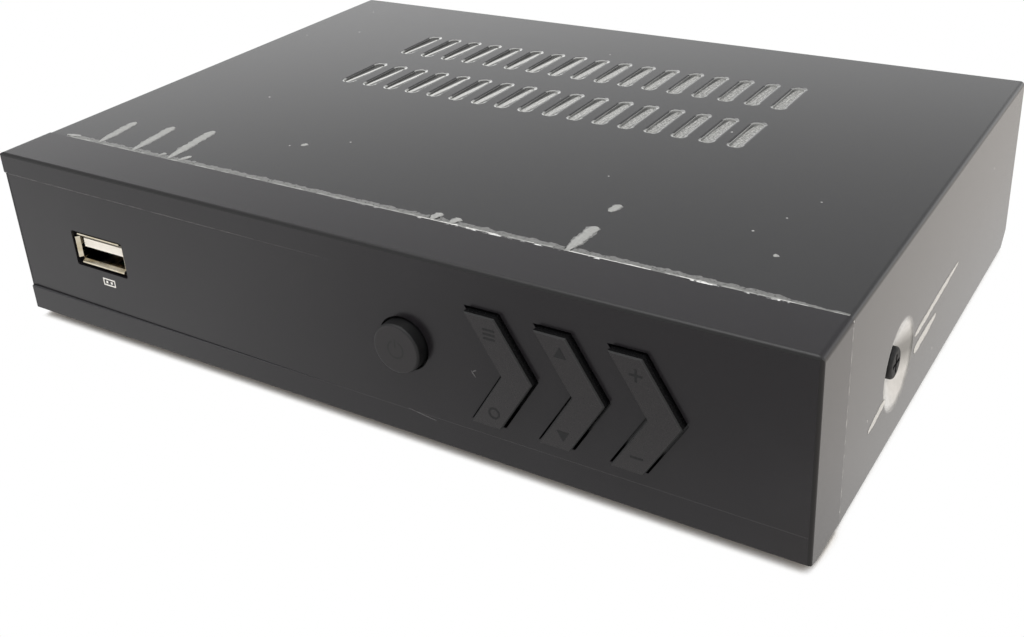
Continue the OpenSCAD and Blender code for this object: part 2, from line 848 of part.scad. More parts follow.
module vent_cut() {
  depth = sheet_t + 2 * over;
  half = vent_w / 2;
  wide = half + 2 * vent_roll;
  rise = 2 * vent_roll_depth;
  run = vent_l - vent_w;
  translate([0, 0, cover_in_top - over]) linear_extrude(depth) stadium(vent_w, vent_l);
  translate([0, 0, cover_top - vent_roll_depth]) {
    for (y = [-1, 1])
      translate([0, y * run / 2, 0]) cylinder(r1 = half, r2 = wide, h = rise);
    slab(-run / 2, run) polygon([[-half, 0], [half, 0], [wide, rise], [-wide, rise]]);
  }
}

module vents() {
  for (row = [0, 1], k = [0:vent_count - 1])
    translate([vent_x + (k - (vent_count - 1) / 2) * vent_pitch, vent_y + row * vent_row_pitch, 0])
      vent_cut();
}

// Places its children at a side screw, with z into the case
module at_side_screws() {
  for (side = [-1, 1])
    translate([side * cover_x, dish_y, dish_z]) rotate([0, -90 * side, 0]) children();
}

module at_rear_screws(y) {
  for (side = [-1, 1])
    translate([side * tab_x, y, tab_hole_z]) rotate([-90, 0, 0]) children();
}

module top_cover() {
  slope = (dish_r - dish_floor_r) / dish_depth;
  clip = 3;
  color([0.2, 0.195, 0.205]) placed() difference() {
    union() {
      slab(cover_y, case_d - cover_y) difference() {
        arch(2 * cover_x, cover_top, bend_r);
        translate([0, -over]) arch(2 * cover_in_x, cover_in_top + over, bend_r - sheet_t);
      }
      at_side_screws()
        cylinder(r1 = dish_r + sheet_t, r2 = dish_floor_r + sheet_t, h = dish_depth + sheet_t);
      for (side = [-1, 1])
        block([side * tab_x - tab_w / 2, rear_y, cover_top - tab_l],
          [side * tab_x + tab_w / 2, case_d, cover_top - sheet_t / 2]);
    }
    block([-case_w, 0, -over], [case_w, 2 * case_d, cover_low]);
    vents();
    at_side_screws() {
      translate([0, 0, -over])
        cylinder(r1 = dish_r + over * slope, r2 = dish_floor_r, h = dish_depth + over);
      cylinder(r = screw_r + fit_gap, h = 4 * dish_depth);
    }
    at_rear_screws(rear_y - over) cylinder(r = screw_r + fit_gap, h = sheet_t + 2 * over);
    bar(-case_w, 2 * case_w)
      polygon([[case_d - clip, cover_low], [case_d, cover_low + clip], [case_d + over, 0],
        [case_d - clip, 0]]);
  }
}

// The light screen under the vents, fixed to the cover by the raised frame round it
module vent_screen() {
  screen_t = 0.4;
  screen_drop = 0.5;
  edge = 4;
  frame_w = 2;
  w = (vent_count - 1) * vent_pitch + vent_w + 2 * edge;
  l = vent_row_pitch + vent_l + 2 * edge;
  color([0.7, 0.7, 0.7]) placed() translate([vent_x, vent_y + vent_row_pitch / 2, 0]) {
    plate(cover_in_top - screen_drop - screen_t, screen_t) square([w, l], center = true);
    plate(cover_in_top - screen_drop - screen_t / 2, screen_drop + screen_t / 2) difference() {
      square([w, l], center = true);
      square([w - 2 * frame_w, l - 2 * frame_w], center = true);
    }
  }
}

module cover_side_screws() {
  color([0.12, 0.12, 0.13]) placed() at_side_screws()
    translate([0, 0, dish_depth]) mirror([0, 0, 1]) screw(screw_l);
}

module cover_rear_screws() {
  color([0.12, 0.12, 0.13]) placed() at_rear_screws(case_d) screw(screw_l);
}

// The chassis: a pressed tray with side and front flanges and a full rear wall
module rear_cutouts() {
  cut_y = rear_in_y - over;
  cut_d = sheet_t + 2 * over;
  rod_y(aerial_in_x, cut_y, socket_z, aerial_barrel_r + fit_gap, cut_d);
  rod_y(aerial_out_x, cut_y, socket_z, aerial_barrel_r + fit_gap, cut_d);
  rod_y(coax_x, cut_y, socket_z, coax_collar_r + fit_gap, cut_d);
  slab(cut_y, cut_d) translate([video_x, video_z]) polygon(video_points(fit_gap));
  slab(cut_y, cut_d) translate([av_x, av_z])
    square([av_w + 2 * fit_gap, av_h + 2 * fit_gap], center = true);
  slab(cut_y, cut_d) translate([supply_x, inlet_z])
    square([inlet_w + 2 * fit_gap, inlet_h + 2 * fit_gap], center = true);
}

module floor_vents() {
  slots = 9;
  pitch = 7;
  slot_w = 3;
  slot_l = 18;
  setback = 24;
  row_pitch = 26;
  first_y = board_front + setback;
  first_x = (main_left + main_right) / 2 - (slots - 1) * pitch / 2;
  for (k = [0:slots - 1], row = [0, 1])
    translate([first_x + k * pitch, first_y + row * row_pitch, -over])
      linear_extrude(sheet_t + 2 * over) stadium(slot_w, slot_l);
}

module chassis() {
  color([0.72, 0.73, 0.74]) placed() difference() {
    union() {
      slab(cover_y, rear_y - cover_y) translate([0, side_flange_h]) mirror([0, 1, 0]) difference() {
        arch(2 * flange_x, side_flange_h, bend_r);
        translate([0, -over]) arch(2 * flange_in_x, side_flange_h - sheet_t + over, bend_r - sheet_t);
      }
      slab(rear_in_y, sheet_t) arch(2 * (cover_in_x - fit_gap), cover_in_top - fit_gap, bend_r);
      block([-flange_in_x + bend_r, cover_y, 0], [flange_in_x - bend_r, cover_y + sheet_t, front_flange_h]);
    }
    hook_windows();
    at_side_screws() cylinder(r = pilot_r, h = 6 * dish_depth);
    at_rear_screws(rear_in_y - over) cylinder(r = pilot_r, h = 2 * over);
    rear_cutouts();
    floor_vents();
  }
}

module rubber_feet() {
  draft = 0.5;
  color([0.08, 0.08, 0.08]) placed()
    for (side = [-1, 1], y = [cover_y + foot_end, rear_y - foot_end])
      translate([side * (half_w - foot_side), y, -foot_h])
        cylinder(r1 = foot_r - draft, r2 = foot_r, h = foot_h);
}

// The main board and the supply board, on standoffs
module board(left, right, holes) {
  plate(board_z, board_t) difference() {
    translate([left, board_front]) square([right - left, board_l]);
    for (p = holes)
      translate(p) circle(screw_r + fit_gap);
  }
}

module main_board() {
  color([0.1, 0.35, 0.18]) placed() board(main_left, main_right, main_holes);
}

module supply_board() {
  color([0.62, 0.5, 0.3]) placed() board(supply_left, supply_right, supply_holes);
}

module board_standoffs() {
  color([0.7, 0.7, 0.72]) placed() for (p = concat(main_holes, supply_holes))
    plate(sheet_t, standoff_h) translate(p) difference() {
      circle(standoff_r);
      circle(pilot_r);
    }
}

module board_screws() {
  color([0.7, 0.7, 0.72]) placed() for (p = concat(main_holes, supply_holes))
    translate([p[0], p[1], board_top]) screw(screw_l);
}

module insulating_sheet() {
  film_t = 0.4;
  color([0.9, 0.9, 0.85]) placed() plate(sheet_t, film_t) difference() {
    translate([supply_left, board_front]) square([supply_w, board_l]);
    for (p = supply_holes)
      translate(p) circle(standoff_r + fit_gap);
  }
}

// The parts on the main board
chip_t = 1.6;
chip_setback = 32;
chip_at = [(main_left + main_right) / 2, board_front + chip_setback];

module main_chip() {
  color([0.12, 0.12, 0.13]) placed() translate([chip_at[0], chip_at[1], board_top])
    translate([0, 0, chip_t / 2]) cube([chip_size, chip_size, chip_t], center = true);
}

module heat_sink() {
  base_t = 3;
  fin_h = 9;
  fin_t = 1.2;
  fins = 7;
  step = (sink_size - fin_t) / (fins - 1);
  color([0.3, 0.3, 0.32]) placed()
    translate([chip_at[0] - sink_size / 2, chip_at[1] - sink_size / 2, board_top + chip_t]) {
      cube([sink_size, sink_size, base_t]);
      for (k = [0:fins - 1])
        translate([k * step, 0, base_t / 2]) cube([fin_t, sink_size, base_t / 2 + fin_h]);
    }
}

module memory_chips() {
  w = 12;
  l = 18;
  t = 1.2;
  gap = 2;
  inset = 26;
  setback = 14;
  color([0.12, 0.12, 0.13]) placed() for (row = [0, 1])
    translate([main_left + inset, board_front + setback + row * (l + gap), board_top]) cube([w, l, t]);
}

module board_capacitors() {
  r = 4;
  h = 11;
  count = 4;
  pitch = 12;
  inset = 16;
  color([0.15, 0.17, 0.3]) placed() for (k = [0:count - 1])
    translate([main_left + inset + k * pitch, av_front - 2 * part_gap - r, board_top]) can(r, h);
}

module tuner_can() {
  lid_t = 0.6;
  lid_edge = 0.4;
  color([0.75, 0.76, 0.77]) placed() translate([tuner_x, tuner_y + tuner_l / 2, board_top]) {
    translate([-tuner_w / 2, -tuner_l / 2, 0]) cube([tuner_w, tuner_l, tuner_h - lid_t]);
    translate([0, -lid_edge / 2, tuner_h - lid_t]) linear_extrude(lid_t)
      rounded(tuner_w + 2 * lid_edge, tuner_l + lid_edge, lid_edge * 2);
  }
}

// The rear sockets
tuner_face = tuner_y + tuner_l;
aerial_mouth = rear_y + aerial_proud;
aerial_depth = 9.5;
aerial_floor = aerial_mouth - aerial_depth;
aerial_disc = 2;
aerial_contact_r = 2.1;
aerial_pin_r = 1.15;
sleeve_t = 0.65;

module aerial_in_socket() {
  color([0.75, 0.76, 0.77]) placed() difference() {
    rod_y(aerial_in_x, tuner_face, socket_z, aerial_barrel_r, aerial_mouth - tuner_face);
    rod_y(aerial_in_x, aerial_floor, socket_z, aerial_in_r, aerial_depth + over);
  }
}

module aerial_in_contact() {
  tip_set = 1.5;
  tip = aerial_mouth - tip_set;
  color([0.85, 0.7, 0.3]) placed() difference() {
    rod_y(aerial_in_x, aerial_floor, socket_z, aerial_contact_r, tip - aerial_floor);
    rod_y(aerial_in_x, aerial_floor + aerial_disc, socket_z, aerial_bore_r, tip - aerial_floor);
  }
}

module aerial_out_socket() {
  shoulder = 1.5;
  color([0.75, 0.76, 0.77]) placed() difference() {
    union() {
      rod_y(aerial_out_x, tuner_face, socket_z, aerial_barrel_r, rear_y + shoulder - tuner_face);
      rod_y(aerial_out_x, tuner_face, socket_z, aerial_out_r, aerial_mouth - tuner_face);
    }
    rod_y(aerial_out_x, aerial_floor, socket_z, aerial_out_r - sleeve_t, aerial_depth + over);
  }
}

module aerial_out_pin() {
  tip_set = 1;
  color([0.85, 0.7, 0.3]) placed()
    rod_y(aerial_out_x, aerial_floor, socket_z, aerial_pin_r, aerial_depth - tip_set);
}

module aerial_insulators() {
  ring_in = aerial_in_r - fit_gap / 3;
  ring_out = aerial_out_r - sleeve_t - fit_gap / 3;
  color([0.92, 0.92, 0.9]) placed() {
    difference() {
      rod_y(aerial_in_x, aerial_floor, socket_z, ring_in, aerial_disc);
      rod_y(aerial_in_x, aerial_floor - over, socket_z, aerial_contact_r + fit_gap / 3,
        aerial_disc + 2 * over);
    }
    difference() {
      rod_y(aerial_out_x, aerial_floor, socket_z, ring_out, aerial_disc);
      rod_y(aerial_out_x, aerial_floor - over, socket_z, aerial_pin_r + fit_gap / 3, aerial_disc + 2 * over);
    }
  }
}

// The outline of the digital video socket, grown by a margin
function video_points(grow) =
  let (w = video_w / 2 + grow, h = video_h / 2 + grow, cut = 1.6)
  [[-w, h], [w, h], [w, -h + cut], [w - cut, -h], [cut - w, -h], [-w, -h + cut]];

video_proud = 0.6;
video_front = rear_in_y - video_l;

module video_shell() {
  color([0.75, 0.76, 0.77]) placed() translate([video_x, 0, video_z]) difference() {
    slab(video_front, video_l + sheet_t + video_proud) polygon(video_points(0));
    slab(video_front + 2 * shell_t, video_l + sheet_t + video_proud + over)
      polygon(video_points(-shell_t));
  }
}

module video_tongue() {
  blade_side = 2.25;
  blade_w = video_w - 2 * blade_side;
  blade_t = 1.2;
  blade_set = 0.5;
  heel = 3;
  heel_y = video_front + 2 * shell_t;
  color([0.1, 0.1, 0.11]) placed() translate([video_x, 0, video_z]) {
    slab(heel_y, heel) polygon(video_points(-shell_t - fit_gap));
    block([-blade_w / 2, heel_y, -blade_t / 2], [blade_w / 2, rear_y - blade_set, blade_t / 2]);
  }
}

// The audio-video socket: a moulded block with a keyed groove and two rows of contact slots
av_rim = 3.5;
av_rim_z = 2.8;

module av_outline(grow) {
  w = av_w / 2 - av_rim + grow;
  h = av_h / 2 - av_rim_z + grow;
  cut = 4;
  polygon([[-w, h], [w, h], [w, cut - h], [w - cut, -h], [-w, -h]]);
}

module av_socket() {
  proud = 1;
  mouth = rear_y + proud;
  groove = 1.3;
  groove_depth = 9;
  slots = 10;
  slot_w = 1;
  slot_h = 2.6;
  slot_land = 1.4;
  pitch = (av_w - 2 * av_rim - 2 * slot_land - slot_w) / (slots - 0.5);
  row_z = 2;
  color([0.1, 0.1, 0.11]) placed() translate([av_x, 0, av_z]) difference() {
    union() {
      slab(av_front, mouth - av_front) square([av_w, av_h], center = true);
      block([-av_w / 2, av_front, board_top - av_z], [av_w / 2, rear_in_y - fit_gap, 0]);
    }
    slab(mouth - groove_depth, groove_depth + over) difference() {
      av_outline(groove);
      av_outline(0);
    }
    for (k = [0:slots - 1], row = [-1, 1]) {
      x = (k - (slots - 1) / 2) * pitch - row * pitch / 4;
      block([x - slot_w / 2, mouth - groove_depth, row * row_z - slot_h / 2],
        [x + slot_w / 2, mouth + over, row * row_z + slot_h / 2]);
    }
  }
}

coax_face = rear_in_y - fit_gap;
coax_mouth = rear_y + coax_proud;
coax_sleeve_t = 0.75;
coax_collar_r = coax_r + coax_sleeve_t;

module coax_sleeve() {
  shoulder = 1;
  color([0.8, 0.66, 0.25]) placed() difference() {
    union() {
      rod_y(coax_x, coax_face, socket_z, coax_r, coax_mouth - coax_face);
      rod_y(coax_x, coax_face, socket_z, coax_collar_r, rear_y + shoulder - coax_face);
    }
    rod_y(coax_x, coax_face - over, socket_z, coax_r - coax_sleeve_t,
      coax_mouth - coax_face + 2 * over);
  }
}

module coax_body() {
  core_r = coax_r - coax_sleeve_t - fit_gap / 3;
  bore_l = 9;
  tip_set = 0.5;
  tip = coax_mouth - tip_set;
  color([0.85, 0.4, 0.1]) placed() difference() {
    union() {
      block([coax_x - coax_body_w / 2, coax_face - coax_body_l, board_top],
        [coax_x + coax_body_w / 2, coax_face, board_top + coax_body_h]);
      rod_y(coax_x, coax_face - over, socket_z, core_r, tip - coax_face + over);
    }
    rod_y(coax_x, tip - bore_l, socket_z, coax_bore_r, bore_l + over);
  }
}

// The mains inlet: a moulded well with two pins
inlet_proud = 1.2;
inlet_mouth = rear_y + inlet_proud;
inlet_floor = inlet_mouth - inlet_depth;

module mains_inlet() {
  rim = 1.5;
  color([0.1, 0.1, 0.11]) placed() translate([supply_x, 0, inlet_z]) difference() {
    union() {
      slab(rear_in_y - inlet_l, inlet_mouth - rear_in_y + inlet_l)
        square([inlet_w, inlet_h], center = true);
      slab(rear_y, inlet_mouth - rear_y) rounded(inlet_w + 2 * rim, inlet_h + 2 * rim, rim);
    }
    slab(inlet_floor, inlet_depth + over) {
      square([2 * inlet_lobe_x, 2 * inlet_lobe_r], center = true);
      for (x = [-1, 1])
        translate([x * inlet_lobe_x, 0]) circle(inlet_lobe_r);
    }
  }
}

module inlet_pins() {
  tip_set = 2.5;
  color([0.75, 0.76, 0.77]) placed() for (x = [-1, 1] * inlet_pitch / 2)
    rod_y(supply_x + x, inlet_floor, inlet_z, inlet_pin_r, inlet_depth - tip_set);
}

// The parts on the supply board
module mains_fuse() {
  tube_r = 2.5;
  cap_r = 2.7;
  cap_l = 5;
  clip_rise = 0.6;
  clip_set = 1;
  edge = 2.3;
  axis_z = board_top + cap_r + clip_rise;
  x = supply_left + edge + cap_r;
  color([0.85, 0.87, 0.88]) placed() {
    rod_y(x, fuse_y, axis_z, tube_r, fuse_l);
    for (end = [fuse_y, fuse_y + fuse_l - cap_l]) {
      rod_y(x, end, axis_z, cap_r, cap_l);
      block([x - tube_r, end + clip_set, board_top], [x + tube_r, end + cap_l - clip_set, axis_z]);
    }
  }
}

module line_filter() {
  base_t = 1;
  color([0.75, 0.45, 0.2]) placed() translate([bulk_x, filter_y, board_top]) {
    cylinder(r = ring_r + ring_wire_r, h = base_t);
    translate([0, 0, base_t / 2 + ring_wire_r]) rotate_extrude() translate([ring_r, 0]) circle(ring_wire_r);
  }
}

// The transformer: a three-legged core round a wound bobbin
transformer_at = [supply_left + core_side + core_w / 2, transformer_y];
core_h = 18;
core_leg = 3.2;

module transformer_core() {
  window_w = (core_w - 4 * core_leg) / 2;
  color([0.2, 0.2, 0.2]) placed()
    translate([transformer_at[0], 0, board_top]) slab(transformer_at[1] - core_d / 2, core_d)
      difference() {
        translate([-core_w / 2, 0]) square([core_w, core_h]);
        for (side = [-1, 1])
          translate([side * (core_leg + window_w / 2) - window_w / 2, core_leg])
            square([window_w, core_h - 2 * core_leg]);
      }
}

module transformer_winding() {
  reach = core_w / 2 - core_leg - fit_gap;
  inner = core_leg + fit_gap;
  low = core_leg + fit_gap;
  turn_r = 2;
  color([0.85, 0.7, 0.2]) placed() plate(board_top + low, core_h - 2 * low)
    translate(transformer_at) difference() {
      rounded(2 * reach, core_d + 2 * core_wind, turn_r);
      square([2 * inner, core_d + 2 * fit_gap], center = true);
    }
}

module bulk_capacitor() {
  h = 20;
  color([0.12, 0.12, 0.14]) placed() translate([bulk_x, bulk_y, board_top]) can(bulk_r, h);
}

module output_capacitors() {
  h = 11;
  pitch = 5.6;
  color([0.12, 0.14, 0.2]) placed() for (side = [-1, 1])
    translate([supply_x + side * pitch / 2, output_y, board_top]) can(output_r, h);
}

header_w = 3.5;
header_h = 6;
header_set = 0.5;
header_y = transformer_y - header_l / 2;

module harness_headers() {
  color([0.92, 0.91, 0.88]) placed() for (x = [supply_right - header_w - header_set, main_left + header_set])
    translate([x, header_y, board_top]) cube([header_w, header_l, header_h]);
}

module supply_harness() {
  wire_r = 0.7;
  wires = 4;
  pitch = 3;
  span = board_gap + header_w + 2 * header_set;
  first = header_y + (header_l - (wires - 1) * pitch) / 2;
  color([0.75, 0.1, 0.08]) placed() for (k = [0:wires - 1])
    translate([(supply_right + main_left) / 2, first + k * pitch, board_top + header_h]) rotate([90, 0, 0])
      rotate_extrude(angle = 180) translate([span / 2, 0]) circle(wire_r);
}

front_panel();
power_button();
menu_rocker();
channel_rocker();
volume_rocker();
front_board();
front_board_screws();
tact_switches();
power_plunger();
menu_up_plunger();
menu_down_plunger();
channel_up_plunger();
channel_down_plunger();
volume_up_plunger();
volume_down_plunger();
infrared_receiver();
standby_lamp();
serial_shell();
serial_tongue();
serial_contacts();
ribbon_cable();
ribbon_connectors();
top_cover();
vent_screen();
cover_side_screws();
cover_rear_screws();
chassis();
rubber_feet();
main_board();
supply_board();
board_standoffs();
board_screws();
insulating_sheet();
main_chip();
heat_sink();
memory_chips();
board_capacitors();
tuner_can();
aerial_in_socket();
aerial_in_contact();
aerial_out_socket();
aerial_out_pin();
aerial_insulators();
video_shell();
video_tongue();
av_socket();
coax_sleeve();
coax_body();
mains_inlet();
inlet_pins();
mains_fuse();
line_filter();
transformer_core();
transformer_winding();
bulk_capacitor();
output_capacitors();
harness_headers();
supply_harness();
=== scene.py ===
import math

import bmesh
import bpy
from mathutils import Matrix, Vector, noise


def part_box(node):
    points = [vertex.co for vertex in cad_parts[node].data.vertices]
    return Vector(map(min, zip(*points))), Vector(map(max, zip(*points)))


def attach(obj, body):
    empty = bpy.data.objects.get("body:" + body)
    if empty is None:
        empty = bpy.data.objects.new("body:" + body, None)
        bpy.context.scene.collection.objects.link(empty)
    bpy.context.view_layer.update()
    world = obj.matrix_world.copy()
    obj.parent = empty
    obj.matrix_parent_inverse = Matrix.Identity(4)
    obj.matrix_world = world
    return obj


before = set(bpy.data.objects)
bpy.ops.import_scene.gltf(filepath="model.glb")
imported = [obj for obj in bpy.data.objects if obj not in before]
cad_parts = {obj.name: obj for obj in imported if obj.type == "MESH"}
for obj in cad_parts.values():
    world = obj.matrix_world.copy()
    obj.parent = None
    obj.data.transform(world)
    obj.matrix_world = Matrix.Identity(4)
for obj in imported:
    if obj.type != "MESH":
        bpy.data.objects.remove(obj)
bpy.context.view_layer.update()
print("stage: frame loaded")

mm = 0.001
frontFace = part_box("front_panel")[0][1]  # plane of the moulded front
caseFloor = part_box("chassis")[0][2]  # underside of the pressed tray
coverLow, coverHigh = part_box("top_cover")


def caseSpot(x, y, z):
    # millimetres from the middle of the front face, above the tray's underside
    return Vector((x * mm, frontFace + y * mm, caseFloor + z * mm))


def linear(code):
    # a screen colour as linear light, opaque
    parts = [int(code[i:i + 2], 16) / 255 for i in (1, 3, 5)]
    return [p / 12.92 if p <= 0.04045 else ((p + 0.055) / 1.055) ** 2.4 for p in parts] + [1]


# inputs that go by number: a Mix node's factor, amounts and colours, and a Map Range node's two spans
factor, amounts, colours = 0, (2, 3), (6, 7)
fromSpan, toSpan = (1, 2), (3, 4)
cloudSpan = (0.3, 0.7)  # most of a noise cloud lies between these values


def addNode(tree, kind, inputs=None, **settings):
    # an input is a plain value, a socket, or a node whose first live output is linked
    node = tree.nodes.new("ShaderNode" + kind)
    for name, value in settings.items():
        setattr(node, name, value)
    single = []
    for name, value in (inputs or {}).items():
        # a pair of inputs takes a pair of values
        single += zip(name, value) if isinstance(name, tuple) else [(name, value)]
    for name, value in single:
        if isinstance(value, bpy.types.Node):
            value = next(o for o in value.outputs if o.enabled)
        if isinstance(value, bpy.types.NodeSocket):
            tree.links.new(value, node.inputs[name])
        else:
            node.inputs[name].default_value = value
    return node


def newMaterial(name, **sockets):
    # the coordinates come back in case millimetres, so a pattern's scale is one over its size
    material = bpy.data.materials.new(name)
    material.use_nodes = True
    tree = material.node_tree
    tree.nodes.clear()
    shader = addNode(tree, "BsdfPrincipled", {k.replace("_", " "): v for k, v in sockets.items()})
    addNode(tree, "OutputMaterial", {"Surface": shader})
    spot = addNode(tree, "Mapping", {
        "Vector": addNode(tree, "TexCoord").outputs["Object"],
        "Location": (0, -frontFace / mm, -caseFloor / mm), "Scale": (1 / mm, 1 / mm, 1 / mm)})
    return material, tree, shader, spot


def grain(tree, shader, spot, dark, light, size, rough, bump):
    # a skin: two tones, a spread of roughness and a bump from one cloud, with size and bump in mm
    cloud = addNode(tree, "TexNoise", {"Vector": spot, "Scale": 1 / size, "Detail": 4.0})
    tone = addNode(tree, "Mix", {factor: cloud, colours: (linear(dark), linear(light))}, data_type="RGBA")
    spread = addNode(tree, "MapRange", {"Value": cloud, fromSpan: cloudSpan, toSpan: rough})
    relief = addNode(tree, "Bump", {"Height": cloud, "Distance": bump * mm})
    tree.links.new(tone.outputs[2], shader.inputs["Base Color"])
    tree.links.new(spread.outputs[0], shader.inputs["Roughness"])
    tree.links.new(relief.outputs[0], shader.inputs["Normal"])
    return tone, spread


def dress(material, *names):
    for name in names:
        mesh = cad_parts[name].data
        mesh.materials.clear()
        mesh.materials.append(material)


# front moulding: ABS from a spark-eroded tool, a fine even grain that scatters the gloss
frontLook = {"skin": ("#131114", "#1b191c", 0.45, (0.2, 0.27), 0.005),
             "rub": "#232326", "rubSize": 26.0, "rubFrom": (0.5, 0.78), "rubShare": (0.0, 0.35),
             "lip": "#565558", "lipHeight": 32.25, "lipWidth": 0.1, "lipFade": (-36.0, 4.0),
             "breakSize": 2.5, "breakFrom": (0.35, 0.6), "breakShare": (0.25, 1.0),
             "chip": "#dcdcda", "chipAt": 12.06, "chipWidth": 0.16, "chipSize": 3.2,
             "chipFrom": (0.56, 0.62), "chipHeight": (36.6, 36.8), "chipSpan": (-20.0, 30.0),
             "ledgeLift": "#4a4a4c", "ledgeAt": 6.7, "ledgeWidth": 0.02,
             "edge": "#0b0a0b", "edgeRough": 0.48, "edgeReach": 0.6}
frontAbs, tree, shader, spot = newMaterial("abs_spark_eroded_black", IOR=1.45)
# the real grain is near 0.1 mm and is drawn about four times coarser so that it shows
tone, spread = grain(tree, shader, spot, *frontLook["skin"])
# handling leaves faint lighter clouds on the matt skin
cloud = addNode(tree, "TexNoise", {"Vector": spot, "Scale": 1 / frontLook["rubSize"], "Detail": 5.0,
                                   "Roughness": 0.62})
rubbed = addNode(tree, "MapRange",
                 {"Value": cloud, fromSpan: frontLook["rubFrom"], toSpan: frontLook["rubShare"]})
rubTone = addNode(tree, "Mix", {factor: rubbed, colours: (tone, linear(frontLook["rub"]))},
                  data_type="RGBA")
# a painted highlight: a thin pale line along the sharp upper lip of the recess, on its left part, broken up
# and fading to the right
axes = addNode(tree, "SeparateXYZ", {"Vector": spot})
onLip = addNode(tree, "Math", {0: axes.outputs["Z"], 1: frontLook["lipHeight"], 2: frontLook["lipWidth"]},
                operation="COMPARE")
fading = addNode(tree, "MapRange",
                 {"Value": axes.outputs["X"], fromSpan: frontLook["lipFade"], toSpan: (1.0, 0.0)})
speck = addNode(tree, "TexNoise", {"Vector": spot, "Scale": 1 / frontLook["breakSize"], "Detail": 3.0})
broken = addNode(tree, "MapRange",
                 {"Value": speck, fromSpan: frontLook["breakFrom"], toSpan: frontLook["breakShare"]})
lipMark = addNode(tree, "Math", {0: onLip, 1: fading}, operation="MULTIPLY")
lipRub = addNode(tree, "Math", {0: lipMark, 1: broken}, operation="MULTIPLY")
lipTone = addNode(tree, "Mix", {factor: lipRub, colours: (rubTone, linear(frontLook["lip"]))},
                  data_type="RGBA")
# the rear edge of the top is nicked white where the cover has been slid off and on
onRear = addNode(tree, "Math", {0: axes.outputs["Y"], 1: frontLook["chipAt"], 2: frontLook["chipWidth"]},
                 operation="COMPARE")
nick = addNode(tree, "TexNoise",
               {"Vector": spot, "Scale": 1 / frontLook["chipSize"], "Detail": 4.0, "Roughness": 0.7})
nicked = addNode(tree, "MapRange", {"Value": nick, fromSpan: frontLook["chipFrom"]})
onTop = addNode(tree, "MapRange", {"Value": axes.outputs["Z"], fromSpan: frontLook["chipHeight"]})
rearMark = addNode(tree, "Math", {0: onRear, 1: nicked}, operation="MULTIPLY")
topMark = addNode(tree, "Math", {0: rearMark, 1: onTop}, operation="MULTIPLY")
toRight = addNode(tree, "MapRange", {"Value": axes.outputs["X"], fromSpan: frontLook["chipSpan"]})
rightMark = addNode(tree, "Math", {0: topMark, 1: toRight}, operation="MULTIPLY")
chipTone = addNode(tree, "Mix", {factor: rightMark, colours: (lipTone, linear(frontLook["chip"]))},
                   data_type="RGBA")
# the narrow ledge under the recess is painted paler, a painted lift against the shade that falls on it
onLedge = addNode(tree, "Math", {0: axes.outputs["Z"], 1: frontLook["ledgeAt"], 2: frontLook["ledgeWidth"]},
                  operation="COMPARE")
ledgeTone = addNode(tree, "Mix", {factor: onLedge, colours: (chipTone, linear(frontLook["ledgeLift"]))},
                    data_type="RGBA")
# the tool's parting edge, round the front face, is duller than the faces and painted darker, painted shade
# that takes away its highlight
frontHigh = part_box("front_panel")[1]
edgeTop = (frontHigh[2] - caseFloor) / mm - frontLook["edgeReach"]
edgeSide = frontHigh[0] / mm - frontLook["edgeReach"]
nearFront = addNode(tree, "Math", {0: axes.outputs["Y"], 1: frontLook["edgeReach"]}, operation="LESS_THAN")
nearTop = addNode(tree, "Math", {0: axes.outputs["Z"], 1: edgeTop}, operation="GREATER_THAN")
outward = addNode(tree, "Math", {0: axes.outputs["X"]}, operation="ABSOLUTE")
nearSide = addNode(tree, "Math", {0: outward, 1: edgeSide}, operation="GREATER_THAN")
nearEdge = addNode(tree, "Math", {0: nearTop, 1: nearSide}, operation="MAXIMUM")
onEdge = addNode(tree, "Math", {0: nearFront, 1: nearEdge}, operation="MULTIPLY")
frontTone = addNode(tree, "Mix", {factor: onEdge, colours: (ledgeTone, linear(frontLook["edge"]))},
                    data_type="RGBA")
frontRough = addNode(tree, "Mix", {factor: onEdge, amounts: (spread, frontLook["edgeRough"])},
                     data_type="FLOAT")
tree.links.new(frontTone.outputs[2], shader.inputs["Base Color"])
tree.links.new(frontRough.outputs[0], shader.inputs["Roughness"])
dress(frontAbs, "front_panel")

# rocker keys: ABS from a tool with a slightly finer, satin grain than the front's
keyLook = {"skin": ("#151214", "#1c191b", 0.4, (0.22, 0.29), 0.005),
           "flankShade": "#0d0d0e", "faceDepth": 0.03, "chamferDepth": 0.3, "chamferRough": 0.68}
keyAbs, tree, shader, spot = newMaterial("abs_satin_moulded_black", IOR=1.56)
tone, spread = grain(tree, shader, spot, *keyLook["skin"])
# behind the face the flanks are painted darker as painted shade, and the chamfer between them is dull from
# the tool
rockerFace = (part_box("menu_rocker")[0][1] - frontFace) / mm
depth = addNode(tree, "SeparateXYZ", {"Vector": spot}).outputs["Y"]
onFlank = addNode(tree, "Math", {0: depth, 1: rockerFace + keyLook["faceDepth"]}, operation="GREATER_THAN")
behind = addNode(tree, "Math", {0: depth, 1: rockerFace + keyLook["chamferDepth"]},
                 operation="GREATER_THAN")
onChamfer = addNode(tree, "Math", {0: onFlank, 1: behind}, operation="SUBTRACT")
keyTone = addNode(tree, "Mix", {factor: onFlank, colours: (tone, linear(keyLook["flankShade"]))},
                  data_type="RGBA")
keyRough = addNode(tree, "Mix", {factor: onChamfer, amounts: (spread, keyLook["chamferRough"])},
                   data_type="FLOAT")
tree.links.new(keyTone.outputs[2], shader.inputs["Base Color"])
tree.links.new(keyRough.outputs[0], shader.inputs["Roughness"])
dress(keyAbs, "menu_rocker", "channel_rocker", "volume_rocker")

